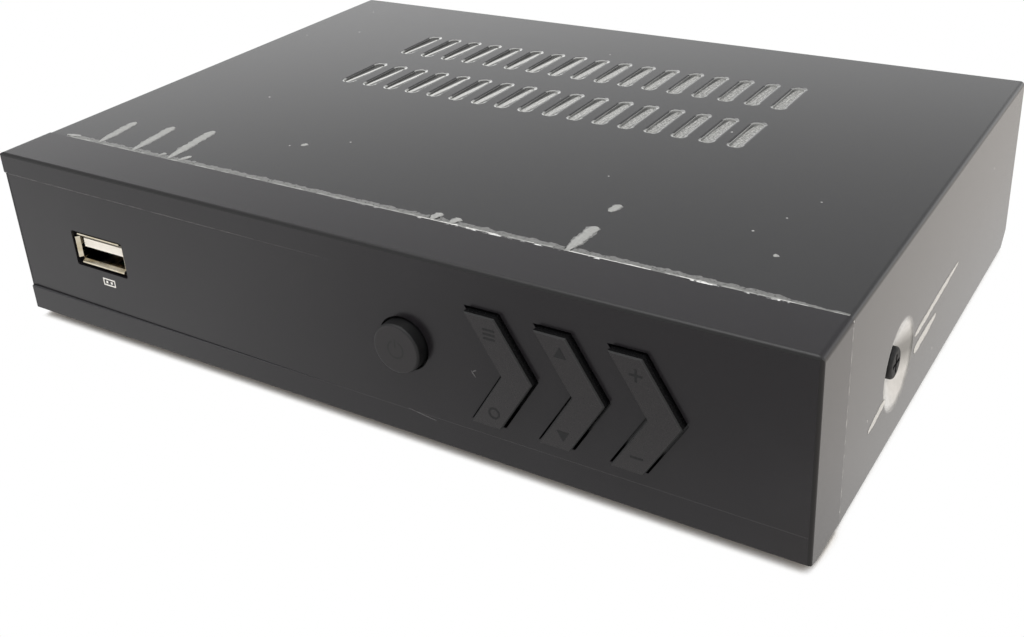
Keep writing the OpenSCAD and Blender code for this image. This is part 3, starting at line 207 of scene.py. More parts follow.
# power key: ABS as the rockers' but duller, with a ring and bar pad-printed in a tone near its own
powerLook = {"ring": 1.55, "line": 0.17, "gap": 0.55, "barLow": 0.35, "barHigh": 2.0, "print": "#040404",
             "skin": ("#151214", "#1c191b", 0.4, (0.4, 0.5), 0.005), "flankAt": 4.35, "roundDepth": 0.4}
powerAbs, tree, shader, spot = newMaterial("abs_satin_pad_printed", IOR=1.5)
tone, spread = grain(tree, shader, spot, *powerLook["skin"])
keyLow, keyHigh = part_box("power_button")
keyMiddle = ((keyLow[0] + keyHigh[0]) / 2 / mm, ((keyLow[2] + keyHigh[2]) / 2 - caseFloor) / mm)
centred = addNode(tree, "Mapping", {"Vector": spot, "Location": (-keyMiddle[0], 0, -keyMiddle[1]),
                                    "Scale": (1, 0, 1)})
away = addNode(tree, "VectorMath", {0: centred}, operation="LENGTH").outputs["Value"]
axes = addNode(tree, "SeparateXYZ", {"Vector": centred})
sideways = addNode(tree, "Math", {0: axes.outputs["X"]}, operation="ABSOLUTE")
onRing = addNode(tree, "Math", {0: away, 1: powerLook["ring"], 2: powerLook["line"]}, operation="COMPARE")
inGap = addNode(tree, "Math", {0: sideways, 1: powerLook["gap"]}, operation="LESS_THAN")
isUpper = addNode(tree, "Math", {0: axes.outputs["Z"], 1: 0.0}, operation="GREATER_THAN")
opening = addNode(tree, "Math", {0: inGap, 1: isUpper}, operation="MULTIPLY")
arc = addNode(tree, "Math", {0: onRing, 1: opening}, operation="SUBTRACT", use_clamp=True)
barMiddle = (powerLook["barLow"] + powerLook["barHigh"]) / 2
barReach = (powerLook["barHigh"] - powerLook["barLow"]) / 2
barWide = addNode(tree, "Math", {0: sideways, 1: powerLook["line"]}, operation="LESS_THAN")
barTall = addNode(tree, "Math", {0: axes.outputs["Z"], 1: barMiddle, 2: barReach}, operation="COMPARE")
barMark = addNode(tree, "Math", {0: barWide, 1: barTall}, operation="MULTIPLY")
mark = addNode(tree, "Math", {0: arc, 1: barMark}, operation="MAXIMUM")
printed = addNode(tree, "Mix", {factor: mark, colours: (tone, linear(powerLook["print"]))},
                  data_type="RGBA")
# its flank is painted darker as painted shade and its rounded edge is dulled, as the rockers' are
powerFace = (keyLow[1] - frontFace) / mm
depth = addNode(tree, "SeparateXYZ", {"Vector": spot}).outputs["Y"]
onFlank = addNode(tree, "Math", {0: away, 1: powerLook["flankAt"]}, operation="GREATER_THAN")
behind = addNode(tree, "Math", {0: depth, 1: powerFace + powerLook["roundDepth"]}, operation="GREATER_THAN")
onRound = addNode(tree, "Math", {0: onFlank, 1: behind}, operation="SUBTRACT", use_clamp=True)
keyTone = addNode(tree, "Mix", {factor: onFlank, colours: (printed, linear(keyLook["flankShade"]))},
                  data_type="RGBA")
keyRough = addNode(tree, "Mix", {factor: onRound, amounts: (spread, keyLook["chamferRough"])},
                   data_type="FLOAT")
tree.links.new(keyTone.outputs[2], shader.inputs["Base Color"])
tree.links.new(keyRough.outputs[0], shader.inputs["Roughness"])
dress(powerAbs, "power_button")
print("stage: front and keys dressed")

# cover: fine-grain black powder coat baked on sheet steel; its slot rims are partly rubbed bare and partly
# painted as highlights, and its screw dish is partly worn and partly painted reflection and shade
coverLook = {"skin": ("#18181a", "#202021", 0.5, (0.18, 0.23), 0.003),
             "steel": ("#c4c4c2", "#e6e6e4"), "streak": 1.6, "wear": 0.45, "wearSize": 1.2,
             # the thin rim tone and the wall tones are painted lighter than the coat, a painted lift against
             # the shade in the slots
             "thin": "#242425", "wall": ("#5e5e5d", "#989896"), "speckle": 0.8,
             # rub sets how much bare steel and painted highlight the rims take, from the left to the right
             "rub": (0.95, 0.26), "rightwardSpan": (-20.0, 46.0),
             "dust": "#8f8f8d", "dustEvery": 9.0, "dustShare": 0.028}
slotLook = {"x": -1.0, "y": 70.0, "rowPitch": 21.9, "pitch": 5.76, "count": 17,
            "width": 2.4, "length": 13.3,
            "rim": (0.55, 0.85), "rimSoft": 0.08, "side": (0.3, 0.9), "sideShare": 0.15,
            "frontEnd": (-0.1, 0.7), "backEnd": (-0.3, 0.3), "wallReach": 0.06}
dishLook = {"y": 39.6, "z": 14.0, "radius": 8.0, "ragged": 0.7, "edge": (-0.9, 0.3),
            "steel": ("#c6c6c4", "#e8e8e6"), "screwShade": "#979795", "bandZ": 14.0, "band": (0.8, 4.2)}
halfPitch = slotLook["pitch"] / 2
halfRow = slotLook["rowPitch"] / 2
halfSlot = slotLook["width"] / 2
# from the middle of a slot to where its round end begins
halfRun = (slotLook["length"] - slotLook["width"]) / 2


def nearestSlot(tree, axes):
    # place in the nearest slot: x wraps on the pitch and y on the two rows
    offX = addNode(tree, "Math", {0: axes.outputs["X"], 1: slotLook["x"]}, operation="SUBTRACT")
    slotX = addNode(tree, "Math", {0: offX, 1: halfPitch, 2: -halfPitch}, operation="WRAP")
    offY = addNode(tree, "Math", {0: axes.outputs["Y"], 1: slotLook["y"]}, operation="SUBTRACT")
    slotY = addNode(tree, "Math", {0: offY, 1: halfRow, 2: -halfRow}, operation="WRAP")
    return offX, offY, slotX, slotY


coat, tree, shader, spot = newMaterial("powder_coated_steel_black", IOR=1.54)
# the coat's orange peel is about 0.3 mm and is drawn a little coarser
tone, _ = grain(tree, shader, spot, *coverLook["skin"])
axes = addNode(tree, "SeparateXYZ", {"Vector": spot})
ragged = addNode(tree, "TexNoise",
                 {"Vector": spot, "Scale": 1 / coverLook["wearSize"], "Detail": 5.0, "Roughness": 0.65})
offX, offY, slotX, slotY = nearestSlot(tree, axes)
alongY = addNode(tree, "Math", {0: slotY}, operation="ABSOLUTE")
pastY = addNode(tree, "Math", {0: alongY, 1: halfRun}, operation="SUBTRACT")
endY = addNode(tree, "Math", {0: pastY, 1: 0.0}, operation="MAXIMUM")
reach = addNode(tree, "CombineXYZ", {"X": slotX, "Y": endY})
fromSlot = addNode(tree, "VectorMath", {0: reach}, operation="LENGTH").outputs["Value"]
slotEdge = addNode(tree, "Math", {0: ragged, 1: coverLook["wear"], 2: fromSlot}, operation="MULTIPLY_ADD")
# the rims reach wider on the right of each slot than elsewhere
toSide = addNode(tree, "MapRange", {"Value": slotX, fromSpan: slotLook["side"]})
rimReach = addNode(tree, "MapRange", {"Value": toSide, toSpan: [halfSlot + r for r in slotLook["rim"]]})
pastRim = addNode(tree, "Math", {0: rimReach, 1: slotEdge}, operation="SUBTRACT")
onRim = addNode(tree, "MapRange", {"Value": pastRim, fromSpan: (-slotLook["rimSoft"], slotLook["rimSoft"])})
spanX = addNode(tree, "Math", {0: offX}, operation="ABSOLUTE")
inRows = addNode(tree, "Math", {0: spanX, 1: slotLook["count"] * halfPitch}, operation="LESS_THAN")
inDepth = addNode(tree, "Math", {0: offY, 1: halfRow, 2: slotLook["rowPitch"]}, operation="COMPARE")
inField = addNode(tree, "Math", {0: inRows, 1: inDepth}, operation="MULTIPLY")
rim = addNode(tree, "Math", {0: onRim, 1: inField}, operation="MULTIPLY")
# steel shows round both ends and a little along the right edge, partly coat rubbed through and partly
# painted highlight where the rims catch the light; at the left the rims keep only the lighter rim tone
toFront = addNode(tree, "MapRange", {"Value": slotY, fromSpan: [e - halfRun for e in slotLook["frontEnd"]],
                                     toSpan: (1.0, 0.0)})
toBack = addNode(tree, "MapRange", {"Value": slotY, fromSpan: [e + halfRun for e in slotLook["backEnd"]]})
atEnds = addNode(tree, "Math", {0: toFront, 1: toBack}, operation="MAXIMUM")
atSide = addNode(tree, "Math", {0: toSide, 1: slotLook["sideShare"]}, operation="MULTIPLY")
endsAndSide = addNode(tree, "Math", {0: atEnds, 1: atSide}, operation="MAXIMUM")
toward = addNode(tree, "MapRange", {"Value": axes.outputs["X"], fromSpan: coverLook["rightwardSpan"]})
rubAndGlintShare = addNode(tree, "MapRange", {"Value": toward, toSpan: coverLook["rub"]})
wearAndGlint = addNode(tree, "Math", {0: endsAndSide, 1: rubAndGlintShare}, operation="MULTIPLY")
bareRimAndGlint = addNode(tree, "Math", {0: rim, 1: wearAndGlint}, operation="MULTIPLY")
isWall = addNode(tree, "Math", {0: fromSlot, 1: halfSlot + slotLook["wallReach"]}, operation="LESS_THAN")
# painted light in the slots: the walls are painted pale and speckled, paler still towards the right, and the
# rims a little lighter than the coat, a painted lift against the shade that falls there
speckled = addNode(tree, "Math", {0: ragged, 1: coverLook["speckle"], 2: toward}, operation="MULTIPLY_ADD")
paling = addNode(tree, "MapRange",
                 {"Value": speckled, fromSpan: (coverLook["speckle"] / 2, coverLook["speckle"] / 2 + 1)})
wallTone = addNode(tree, "Mix", {factor: paling, colours: map(linear, coverLook["wall"])}, data_type="RGBA")
rimLiftTone = addNode(tree, "Mix", {factor: isWall, colours: (linear(coverLook["thin"]), wallTone)},
                   data_type="RGBA")
liftedTone = addNode(tree, "Mix", {factor: rim, colours: (tone, rimLiftTone)}, data_type="RGBA")
# the right dish is laid bare steel out to a ragged ring, partly worn to the metal and partly a painted
# reflection of its bright face
dishAway = addNode(tree, "Mapping", {"Vector": spot, "Location": (0, -dishLook["y"], -dishLook["z"]),
                                     "Scale": (0, 1, 1)})
dishR = addNode(tree, "VectorMath", {0: dishAway}, operation="LENGTH").outputs["Value"]
dishEdge = addNode(tree, "Math", {0: ragged, 1: dishLook["ragged"], 2: dishR}, operation="MULTIPLY_ADD")
dishLimit = dishLook["radius"] + dishLook["ragged"] / 2
bareDishAndSheen = addNode(tree, "MapRange", {"Value": dishEdge, fromSpan: [dishLimit + e for e in dishLook["edge"]],
                                      toSpan: (1.0, 0.0)})
onRight = addNode(tree, "Math", {0: axes.outputs["X"], 1: 0.0}, operation="GREATER_THAN")
rightDishBareAndSheen = addNode(tree, "Math", {0: bareDishAndSheen, 1: onRight}, operation="MULTIPLY")
bareAndGlint = addNode(tree, "Math", {0: bareRimAndGlint, 1: rightDishBareAndSheen}, operation="MAXIMUM")
# bare steel is mottled by the press and the driver
streak = addNode(tree, "TexNoise", {"Vector": spot, "Scale": 1 / coverLook["streak"], "Detail": 6.0})
steelTone = addNode(tree, "Mix", {factor: streak, colours: map(linear, coverLook["steel"])},
                    data_type="RGBA")
rimTone = addNode(tree, "Mix", {factor: bareRimAndGlint, colours: (liftedTone, steelTone)}, data_type="RGBA")
# the dish is bright steel, apart from a grey band of painted shade at the height of the screw
dishSteel = addNode(tree, "Mix", {factor: streak, colours: map(linear, dishLook["steel"])},
                    data_type="RGBA")
dishRise = addNode(tree, "Math", {0: axes.outputs["Z"], 1: dishLook["bandZ"]}, operation="SUBTRACT")
offScrew = addNode(tree, "Math", {0: dishRise}, operation="ABSOLUTE")
screwBandShade = addNode(tree, "MapRange", {"Value": offScrew, fromSpan: dishLook["band"], toSpan: (1.0, 0.0)})
dishTone = addNode(tree, "Mix", {factor: screwBandShade, colours: (dishSteel, linear(dishLook["screwShade"]))},
                   data_type="RGBA")
coverTone = addNode(tree, "Mix", {factor: rightDishBareAndSheen, colours: (rimTone, dishTone)}, data_type="RGBA")
# a few pale specks of dust on the coat
fleck = addNode(tree, "TexVoronoi", {"Vector": spot, "Scale": 1 / coverLook["dustEvery"]}, feature="F1")
isFleck = addNode(tree, "Math", {0: fleck.outputs["Distance"], 1: coverLook["dustShare"]},
                  operation="LESS_THAN")
dusted = addNode(tree, "Mix", {factor: isFleck, colours: (coverTone, linear(coverLook["dust"]))},
                 data_type="RGBA")
tree.links.new(dusted.outputs[2], shader.inputs["Base Color"])
tree.links.new(bareAndGlint.outputs[0], shader.inputs["Metallic"])
dress(coat, "top_cover")
print("stage: cover dressed")

# plain finishes: a skin's two tones, grain in mm, roughness and bump in mm, then how metallic it is and
# the pieces that wear it
plungers = [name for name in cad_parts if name.endswith("_plunger")]
finishes = {
    # zinc-coated steel: large soft spangles and a dull sheen
    "zinc_coated_steel_sheet": ("#9da0a3", "#bfc2c4", 7.0, (0.34, 0.5), 0.004, 1.0, ["chassis"]),
    # tin-plated steel: brighter than zinc, with a fine cloud
    "tin_plated_steel": ("#b9babb", "#d2d3d4", 2.5, (0.22, 0.34), 0.003, 1.0, ["tuner_can"]),
    # zinc-plated turned and headed steel: bluish, lightly frosted
    "zinc_plated_steel": ("#a9adb2", "#c6cacf", 0.8, (0.28, 0.4), 0.004, 1.0,
                          ["front_board_screws", "board_screws", "board_standoffs"]),
    # black oxide on headed steel: nearly black and rough from the bath
    "black_oxide_steel": ("#0a0a0b", "#1e1e1f", 0.5, (0.55, 0.8), 0.06, 0.0,
                          ["cover_side_screws", "cover_rear_screws"]),
    # moulded rubber: deep matt black with a soft bloom
    "moulded_rubber": ("#0f0f0f", "#1b1b1b", 0.7, (0.7, 0.85), 0.02, 0.0, ["rubber_feet"]),
    # nickel on drawn brass: warm white metal, polished by the plug
    "nickel_plated_brass": ("#b4b0a8", "#cfcbc3", 1.2, (0.16, 0.28), 0.002, 1.0,
                            ["aerial_in_socket", "aerial_out_socket", "inlet_pins", "video_shell"]),
    # gold flash on brass: thin and slightly uneven
    "gold_flashed_brass": ("#c79a45", "#e0bc6a", 1.0, (0.2, 0.3), 0.002, 1.0,
                           ["serial_contacts", "aerial_in_contact", "aerial_out_pin", "coax_sleeve"]),
    # moulded black thermoplastic of sockets and switches: satin with a fine grain
    "thermoplastic_moulded_black": ("#141415", "#1f1f20", 0.5, (0.4, 0.55), 0.008, 0.0,
                                    ["tact_switches", "infrared_receiver", "video_tongue", "av_socket",
                                     "mains_inlet"]),
    # moulded nylon stems: waxy black
    "nylon_moulded_black": ("#161616", "#202021", 0.6, (0.38, 0.5), 0.006, 0.0, plungers),
    # glass-filled epoxy of chip packages: matt, with a grey haze
    "epoxy_chip_package": ("#1a1a1b", "#2a2a2b", 0.6, (0.55, 0.7), 0.01, 0.0,
                           ["main_chip", "memory_chips"]),
    # moulded white thermoplastic: milky, faintly uneven
    "thermoplastic_moulded_white": ("#dedbd2", "#efece4", 1.5, (0.35, 0.48), 0.006, 0.0,
                                    ["ribbon_connectors", "harness_headers", "aerial_insulators"]),
    # pressed insulating film: a pale sheet with a fine crush
    "pressed_insulating_film": ("#d2cfc2", "#e6e3d8", 3.0, (0.4, 0.55), 0.01, 0.0, ["insulating_sheet"]),
    # orange socket moulding: saturated and satin
    "thermoplastic_moulded_orange": ("#b85312", "#cf6620", 0.8, (0.35, 0.48), 0.006, 0.0, ["coax_body"]),
    # solder mask on glass laminate: glossy green over faint copper shapes
    "solder_masked_laminate": ("#0d4a26", "#176338", 4.0, (0.25, 0.4), 0.02, 0.0,
                               ["front_board", "main_board"]),
    # phenolic paper laminate: tan and mealy
    "phenolic_paper_laminate": ("#8f6a3a", "#b08a55", 1.2, (0.45, 0.6), 0.01, 0.0, ["supply_board"]),
    # laminated film of the flat cable: smooth, pale and faintly cloudy
    "laminated_cable_film": ("#b9babd", "#dcdde0", 1.0, (0.3, 0.4), 0.01, 0.0, ["ribbon_cable"]),
    # black anodised aluminium: even and slightly silky
    "anodised_aluminium_black": ("#232326", "#333337", 0.9, (0.35, 0.5), 0.004, 1.0, ["heat_sink"]),
    # shrink sleeve on capacitor cans: glossy, pulled tight
    "shrink_sleeved_can": ("#141829", "#20263c", 2.0, (0.22, 0.34), 0.006, 0.0,
                           ["board_capacitors", "bulk_capacitor", "output_capacitors"]),
    # fuse with plated caps: cold pale glass and tin
    "glass_fuse_tube": ("#b6bcbe", "#dde2e3", 1.4, (0.12, 0.25), 0.003, 0.0, ["mains_fuse"]),
    # sintered ferrite: charcoal and stony
    "sintered_ferrite": ("#262626", "#3a3a3a", 0.5, (0.55, 0.75), 0.02, 0.0, ["transformer_core"]),
    # polyester tape over a winding: yellow, slick, wrinkled
    "polyester_winding_tape": ("#b58a12", "#d9b02c", 2.2, (0.2, 0.32), 0.03, 0.0, ["transformer_winding"]),
    # vinyl on hook-up wire: red, semi-gloss
    "vinyl_wire_cover": ("#8f1410", "#b3221c", 0.8, (0.3, 0.42), 0.006, 0.0, ["supply_harness"]),
}
for name, (*skin, metal, wearers) in finishes.items():
    finish, tree, shader, spot = newMaterial(name, Metallic=metal)
    grain(tree, shader, spot, *skin)
    dress(finish, *wearers)

# serial shell: thin nickel over brass, folded, so it runs from cream to dull gold
shellLook = {"skin": ("#b7a57c", "#f6f0e2", 1.6, (0.12, 0.22), 0.006), "inside": "#2a1f14",
             "depthShade": (1.4, 2.4)}
shellMetal, tree, shader, spot = newMaterial("nickel_flashed_folded_brass", Metallic=1.0)
tone, _ = grain(tree, shader, spot, *shellLook["skin"])
# behind the lips the shell is painted dark brown with depth, painted shade inside the socket
depth = addNode(tree, "SeparateXYZ", {"Vector": spot}).outputs["Y"]
depthShade = addNode(tree, "MapRange", {"Value": depth, fromSpan: shellLook["depthShade"]})
shadedTone = addNode(tree, "Mix", {factor: depthShade, colours: (tone, linear(shellLook["inside"]))},
               data_type="RGBA")
tree.links.new(shadedTone.outputs[2], shader.inputs["Base Color"])
dress(shellMetal, "serial_shell")

# serial tongue: white glass-filled nylon, a little chalky
tongueLook = {"skin": ("#e3e0d8", "#f3f1eb", 0.8, (0.4, 0.52), 0.006)}
tongueNylon, tree, shader, spot = newMaterial("nylon_moulded_white", IOR=1.53)
grain(tree, shader, spot, *tongueLook["skin"])
dress(tongueNylon, "serial_tongue")

# standby lamp: clear red epoxy dome, glossy, with some light passing through
lampLook = {"skin": ("#7a0d0a", "#a8150f", 1.5, (0.08, 0.14), 0.002), "clear": 0.35}
lampEpoxy, tree, shader, spot = newMaterial("epoxy_cast_red", IOR=1.55,
                                            Transmission_Weight=lampLook["clear"])
grain(tree, shader, spot, *lampLook["skin"])
dress(lampEpoxy, "standby_lamp")

# line filter: enamelled copper wound on a ring, so close bright turns show
coilLook = {"tones": ("#7a3a12", "#c4793a"), "wire": 0.628, "wander": 0.4,
            "rough": 0.25, "metal": 0.6, "bump": 0.1}
oneWave = 0.314  # scale at which a wave texture repeats once in each millimetre
coilWire, tree, shader, spot = newMaterial("enamelled_copper_winding", Roughness=coilLook["rough"],
                                           Metallic=coilLook["metal"])
turns = addNode(tree, "TexWave", {"Vector": spot, "Scale": oneWave / coilLook["wire"],
                                  "Distortion": coilLook["wander"]})
wireTone = addNode(tree, "Mix", {factor: turns, colours: map(linear, coilLook["tones"])}, data_type="RGBA")
wireBump = addNode(tree, "Bump", {"Height": turns, "Distance": coilLook["bump"] * mm})
tree.links.new(wireTone.outputs[2], shader.inputs["Base Color"])
tree.links.new(wireBump.outputs[0], shader.inputs["Normal"])
dress(coilWire, "line_filter")

# screen under the slots: plain-woven zinc-coated wire, light with small dark openings
screenLook = {"wireAndGap": ("#b0b0ad", "#6a6a68"), "meshShade": ("#4c4c4b", "#626260"),
              "spacing": 0.75, "metal": 0.35, "rough": 0.5, "bump": 0.12,
              "fleck": 0.4, "fleckFrom": (0.42, 0.6),
              "bandLight": "#d6d6d3", "bandLightFrom": (0.0, 0.8), "bandLightShare": (0.15, 1.0),
              "band": (0.17, 1.1), "bandSpan": (-40.0, 46.0), "bandLean": 0.1, "bandSoft": 0.34}
weave, tree, shader, spot = newMaterial("woven_zinc_coated_wire", Metallic=screenLook["metal"],
                                        Roughness=screenLook["rough"])
# the weave is near 0.4 mm and is drawn coarser so that it shows as a speckle
waves = [addNode(tree, "TexWave", {"Vector": spot, "Scale": oneWave / screenLook["spacing"]},
                 bands_direction=way).outputs["Fac"] for way in "XY"]
knit = addNode(tree, "Math", {0: waves[0], 1: waves[1]}, operation="MULTIPLY")
# dull flecks where dust sits in the mesh
fleck = addNode(tree, "TexNoise", {"Vector": spot, "Scale": 1 / screenLook["fleck"], "Detail": 2.0})
flecked = addNode(tree, "MapRange", {"Value": fleck, fromSpan: screenLook["fleckFrom"]})
dulled = addNode(tree, "Math", {0: knit, 1: flecked}, operation="MAXIMUM")
weaveTone = addNode(tree, "Mix", {factor: dulled, colours: map(linear, screenLook["wireAndGap"])},
                    data_type="RGBA")
weaveBump = addNode(tree, "Bump", {"Height": knit, "Distance": screenLook["bump"] * mm}, invert=True)
# painted light and shade on the mesh: a lit leaning band in each slot that widens to the right, with the
# mesh beside it painted dark as shade
axes = addNode(tree, "SeparateXYZ", {"Vector": spot})
offX, _, slotX, slotY = nearestSlot(tree, axes)
leaning = addNode(tree, "Math", {0: slotY, 1: -screenLook["bandLean"], 2: slotX}, operation="MULTIPLY_ADD")
aside = addNode(tree, "Math", {0: leaning}, operation="ABSOLUTE")
bandGrowth = addNode(tree, "MapRange", {"Value": offX, fromSpan: screenLook["bandSpan"]})
bandHalf = addNode(tree, "MapRange", {"Value": bandGrowth, toSpan: screenLook["band"]})
bandLighting = addNode(tree, "MapRange", {"Value": bandGrowth, fromSpan: screenLook["bandLightFrom"],
                                     toSpan: screenLook["bandLightShare"]})
bandTone = addNode(tree, "Mix", {factor: bandLighting, colours: (linear(screenLook["bandLight"]), weaveTone)},
                   data_type="RGBA")
pastBand = addNode(tree, "Math", {0: aside, 1: bandHalf}, operation="SUBTRACT")
shaded = addNode(tree, "MapRange", {"Value": pastBand, fromSpan: (0.0, screenLook["bandSoft"])})
rightOfBand = addNode(tree, "Math", {0: leaning, 1: 0.0}, operation="GREATER_THAN")
shadeTone = addNode(tree, "Mix", {factor: rightOfBand, colours: map(linear, screenLook["meshShade"])},
                   data_type="RGBA")
meshTone = addNode(tree, "Mix", {factor: shaded, colours: (bandTone, shadeTone)}, data_type="RGBA")
tree.links.new(meshTone.outputs[2], shader.inputs["Base Color"])
tree.links.new(weaveBump.outputs[0], shader.inputs["Normal"])
dress(weave, "vent_screen")
print("stage: metals, mouldings and boards dressed")


def keepPiece(name, shape, material, body):
    bmesh.ops.recalc_face_normals(shape, faces=shape.faces)
    mesh = bpy.data.meshes.new(name)
    shape.to_mesh(mesh)
    shape.free()
    mesh.materials.append(material)
    piece = bpy.data.objects.new(name, mesh)
    bpy.context.collection.objects.link(piece)
    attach(piece, body)


def pullOut(shape, faces, way):
    # walls are drawn out of the faces, which move along by the given way
    raised = bmesh.ops.extrude_face_region(shape, geom=faces)["geom"]
    bmesh.ops.translate(shape, vec=way, verts=[v for v in raised if isinstance(v, bmesh.types.BMVert)])


def addBar(shape, x, z, width, height, thick):
    # a flat bar, drawn in x and z and standing thick towards the front
    bar = bmesh.ops.create_grid(shape, x_segments=1, y_segments=1, size=0.5)["verts"]
    bmesh.ops.scale(shape, vec=(width, height, 1), verts=bar)
    bmesh.ops.rotate(shape, matrix=Matrix.Rotation(math.radians(90), 3, "X"), verts=bar)
    bmesh.ops.translate(shape, vec=(x, 0, z), verts=bar)
    pullOut(shape, [bar[0].link_faces[0]], (0, -thick, 0))


def addRing(shape, outer, inner, thick, steps=28):
    # a flat ring spun from one small rectangle
    corners = ((inner, 0, 0), (outer, 0, 0), (outer, -thick, 0), (inner, -thick, 0))
    start = [shape.verts.new(p) for p in corners]
    loop = [shape.edges.new((start[i], start[(i + 1) % 4])) for i in range(4)]
    bmesh.ops.spin(shape, geom=start + loop, cent=(0, 0, 0), axis=(0, 1, 0), angle=math.tau, steps=steps,
                   use_merge=True)


def placed(shape, offset):
    # from millimetres about the piece's own middle to its place in the frame
    bmesh.ops.scale(shape, vec=(mm, mm, mm), verts=shape.verts)
    bmesh.ops.translate(shape, vec=offset, verts=shape.verts)


# the screen is pressed up into each slot, so that its mesh bulges just below the cover's face
slotScreen = {"low": 36.05, "rise": 0.26, "border": 0.45, "bulge": 0.08, "segments": 18, "facingUp": 0.9}
shape = bmesh.new()
for row in range(2):
    for i in range(slotLook["count"]):
        ring = bmesh.ops.create_circle(shape, cap_ends=True, radius=halfSlot,
                                       segments=slotScreen["segments"])["verts"]
        for v in ring:
            v.co.y += halfRun if v.co.y > 0 else -halfRun
        middleX = slotLook["x"] + (i - (slotLook["count"] - 1) / 2) * slotLook["pitch"]
        middleY = slotLook["y"] + row * slotLook["rowPitch"]
        bmesh.ops.translate(shape, vec=(middleX, middleY, slotScreen["low"]), verts=ring)
pullOut(shape, shape.faces[:], (0, 0, slotScreen["rise"]))
bmesh.ops.recalc_face_normals(shape, faces=shape.faces)
tops = [f for f in shape.faces if f.normal.z > slotScreen["facingUp"]]
bmesh.ops.inset_individual(shape, faces=tops, thickness=slotScreen["border"], depth=slotScreen["bulge"])
placed(shape, caseSpot(0, 0, 0))
keepPiece("slot_screens", shape, weave, "case")

# symbols on the rocker keys: pad-printed in a black just below the key's own tone
symbolLook = {"skin": ("#08080a", "#0d0d0f", 0.4, (0.4, 0.5), 0.003)}
keyInk, tree, shader, spot = newMaterial("pad_printed_black_ink", IOR=1.45)
grain(tree, shader, spot, *symbolLook["skin"])
keySymbols = {"thick": 0.03, "size": 2.2, "line": 0.36, "rowShare": 0.36, "wedgeShare": 0.58, "lift": 7.3,
              "point": 6.4, "arm": 5.7, "half": 10.25, "left": 27.6, "pitch": 12.76, "height": 19.8,
              "signs": {"menu": ("bars", "ring"), "channel": ("up", "down"), "volume": ("plus", "minus")}}


def keySymbol(kind):
    size, line, thick = keySymbols["size"], keySymbols["line"], keySymbols["thick"]
    shape = bmesh.new()
    if kind == "bars":
        for row in (-1, 0, 1):
            addBar(shape, 0, row * size * keySymbols["rowShare"], size, line, thick)
    elif kind == "ring":
        addRing(shape, size / 2, size / 2 - line, thick)
    elif kind in ("plus", "minus"):
        addBar(shape, 0, 0, size, line, thick)
        if kind == "plus":
            for side in (-1, 1):
                addBar(shape, 0, side * (size + line) / 4, line, (size - line) / 2, thick)
    else:
        # a solid triangle pointing up or down
        ring = bmesh.ops.create_circle(shape, cap_ends=True, radius=size * keySymbols["wedgeShare"],
                                       segments=3)["verts"]
        bmesh.ops.rotate(shape, matrix=Matrix.Rotation(math.radians(90), 3, "X"), verts=ring)
        if kind == "down":
            bmesh.ops.rotate(shape, matrix=Matrix.Rotation(math.radians(180), 3, "Y"), verts=ring)
        pullOut(shape, shape.faces[:], (0, -thick, 0))
    return shape


for place, (name, (upper, lower)) in enumerate(keySymbols["signs"].items()):
    keyFace = (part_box(name + "_rocker")[0][1] - frontFace) / mm
    # the chevron leans, so the middle of an arm moves with the height
    lean = keySymbols["point"] * (1 - keySymbols["lift"] / keySymbols["half"])
    x = keySymbols["left"] + place * keySymbols["pitch"] + lean + keySymbols["arm"] / 2
    for way, end, kind in ((1, "upper", upper), (-1, "lower", lower)):
        shape = keySymbol(kind)
        placed(shape, caseSpot(x, keyFace, keySymbols["height"] + way * keySymbols["lift"]))
        keepPiece(f"{name}_symbol_{end}", shape, keyInk, name + "_rocker")

# pictogram below the serial socket: white pad print, a plug face with its two contacts
plugMark = {"skin": ("#cfcfcd", "#f0f0ee", 0.5, (0.4, 0.5), 0.003), "x": -59.6, "z": 13.3,
            "width": 3.4, "height": 1.6, "thick": 0.03, "line": 0.27, "seam": 0.02,
            "dot": 0.52, "dotShare": 0.19, "recessDepth": 0.6, "recessEnd": 4.0, "recessRun": 89.0}
whiteInk, tree, shader, spot = newMaterial("pad_printed_white_ink", IOR=1.5)
grain(tree, shader, spot, *plugMark["skin"])
shape = bmesh.new()
wide, tall, line, thick = (plugMark[k] for k in ("width", "height", "line", "thick"))
for side in (-1, 1):
    addBar(shape, 0, side * (tall - line) / 2, wide, line, thick)
    addBar(shape, side * (wide - line) / 2, 0, line, tall - 2 * line - plugMark["seam"], thick)
    addBar(shape, side * wide * plugMark["dotShare"], 0, plugMark["dot"], plugMark["dot"], thick)
# the tapered recess lies a little behind the front plane at this place
recessAt = plugMark["recessDepth"] * (plugMark["recessEnd"] - plugMark["x"]) / plugMark["recessRun"]
placed(shape, caseSpot(plugMark["x"], recessAt, plugMark["z"]))
keepPiece("serial_pictogram", shape, whiteInk, "case")

# wear, by depth: coat rubbed grey, plastic whitened, primer scuffed and bare metal nicked bright
wearLooks = {"rubbed_powder_coat": ("#2e2e2d", "#7c7c7a", 0.5, (0.25, 0.36), 0.006),
             "stress_whitened_abs": ("#3c3c3e", "#59595b", 0.5, (0.4, 0.5), 0.006),
             "scuffed_grey_primer": ("#5a5a58", "#a8a8a5", 0.4, (0.35, 0.5), 0.01),
             "nicked_bright_steel": ("#b6b5b2", "#dddcd9", 0.9, (0.35, 0.5), 0.012)}
wear = {}
for name, skin in wearLooks.items():
    wear[name], tree, shader, spot = newMaterial(name, IOR=1.5)
    grain(tree, shader, spot, *skin)

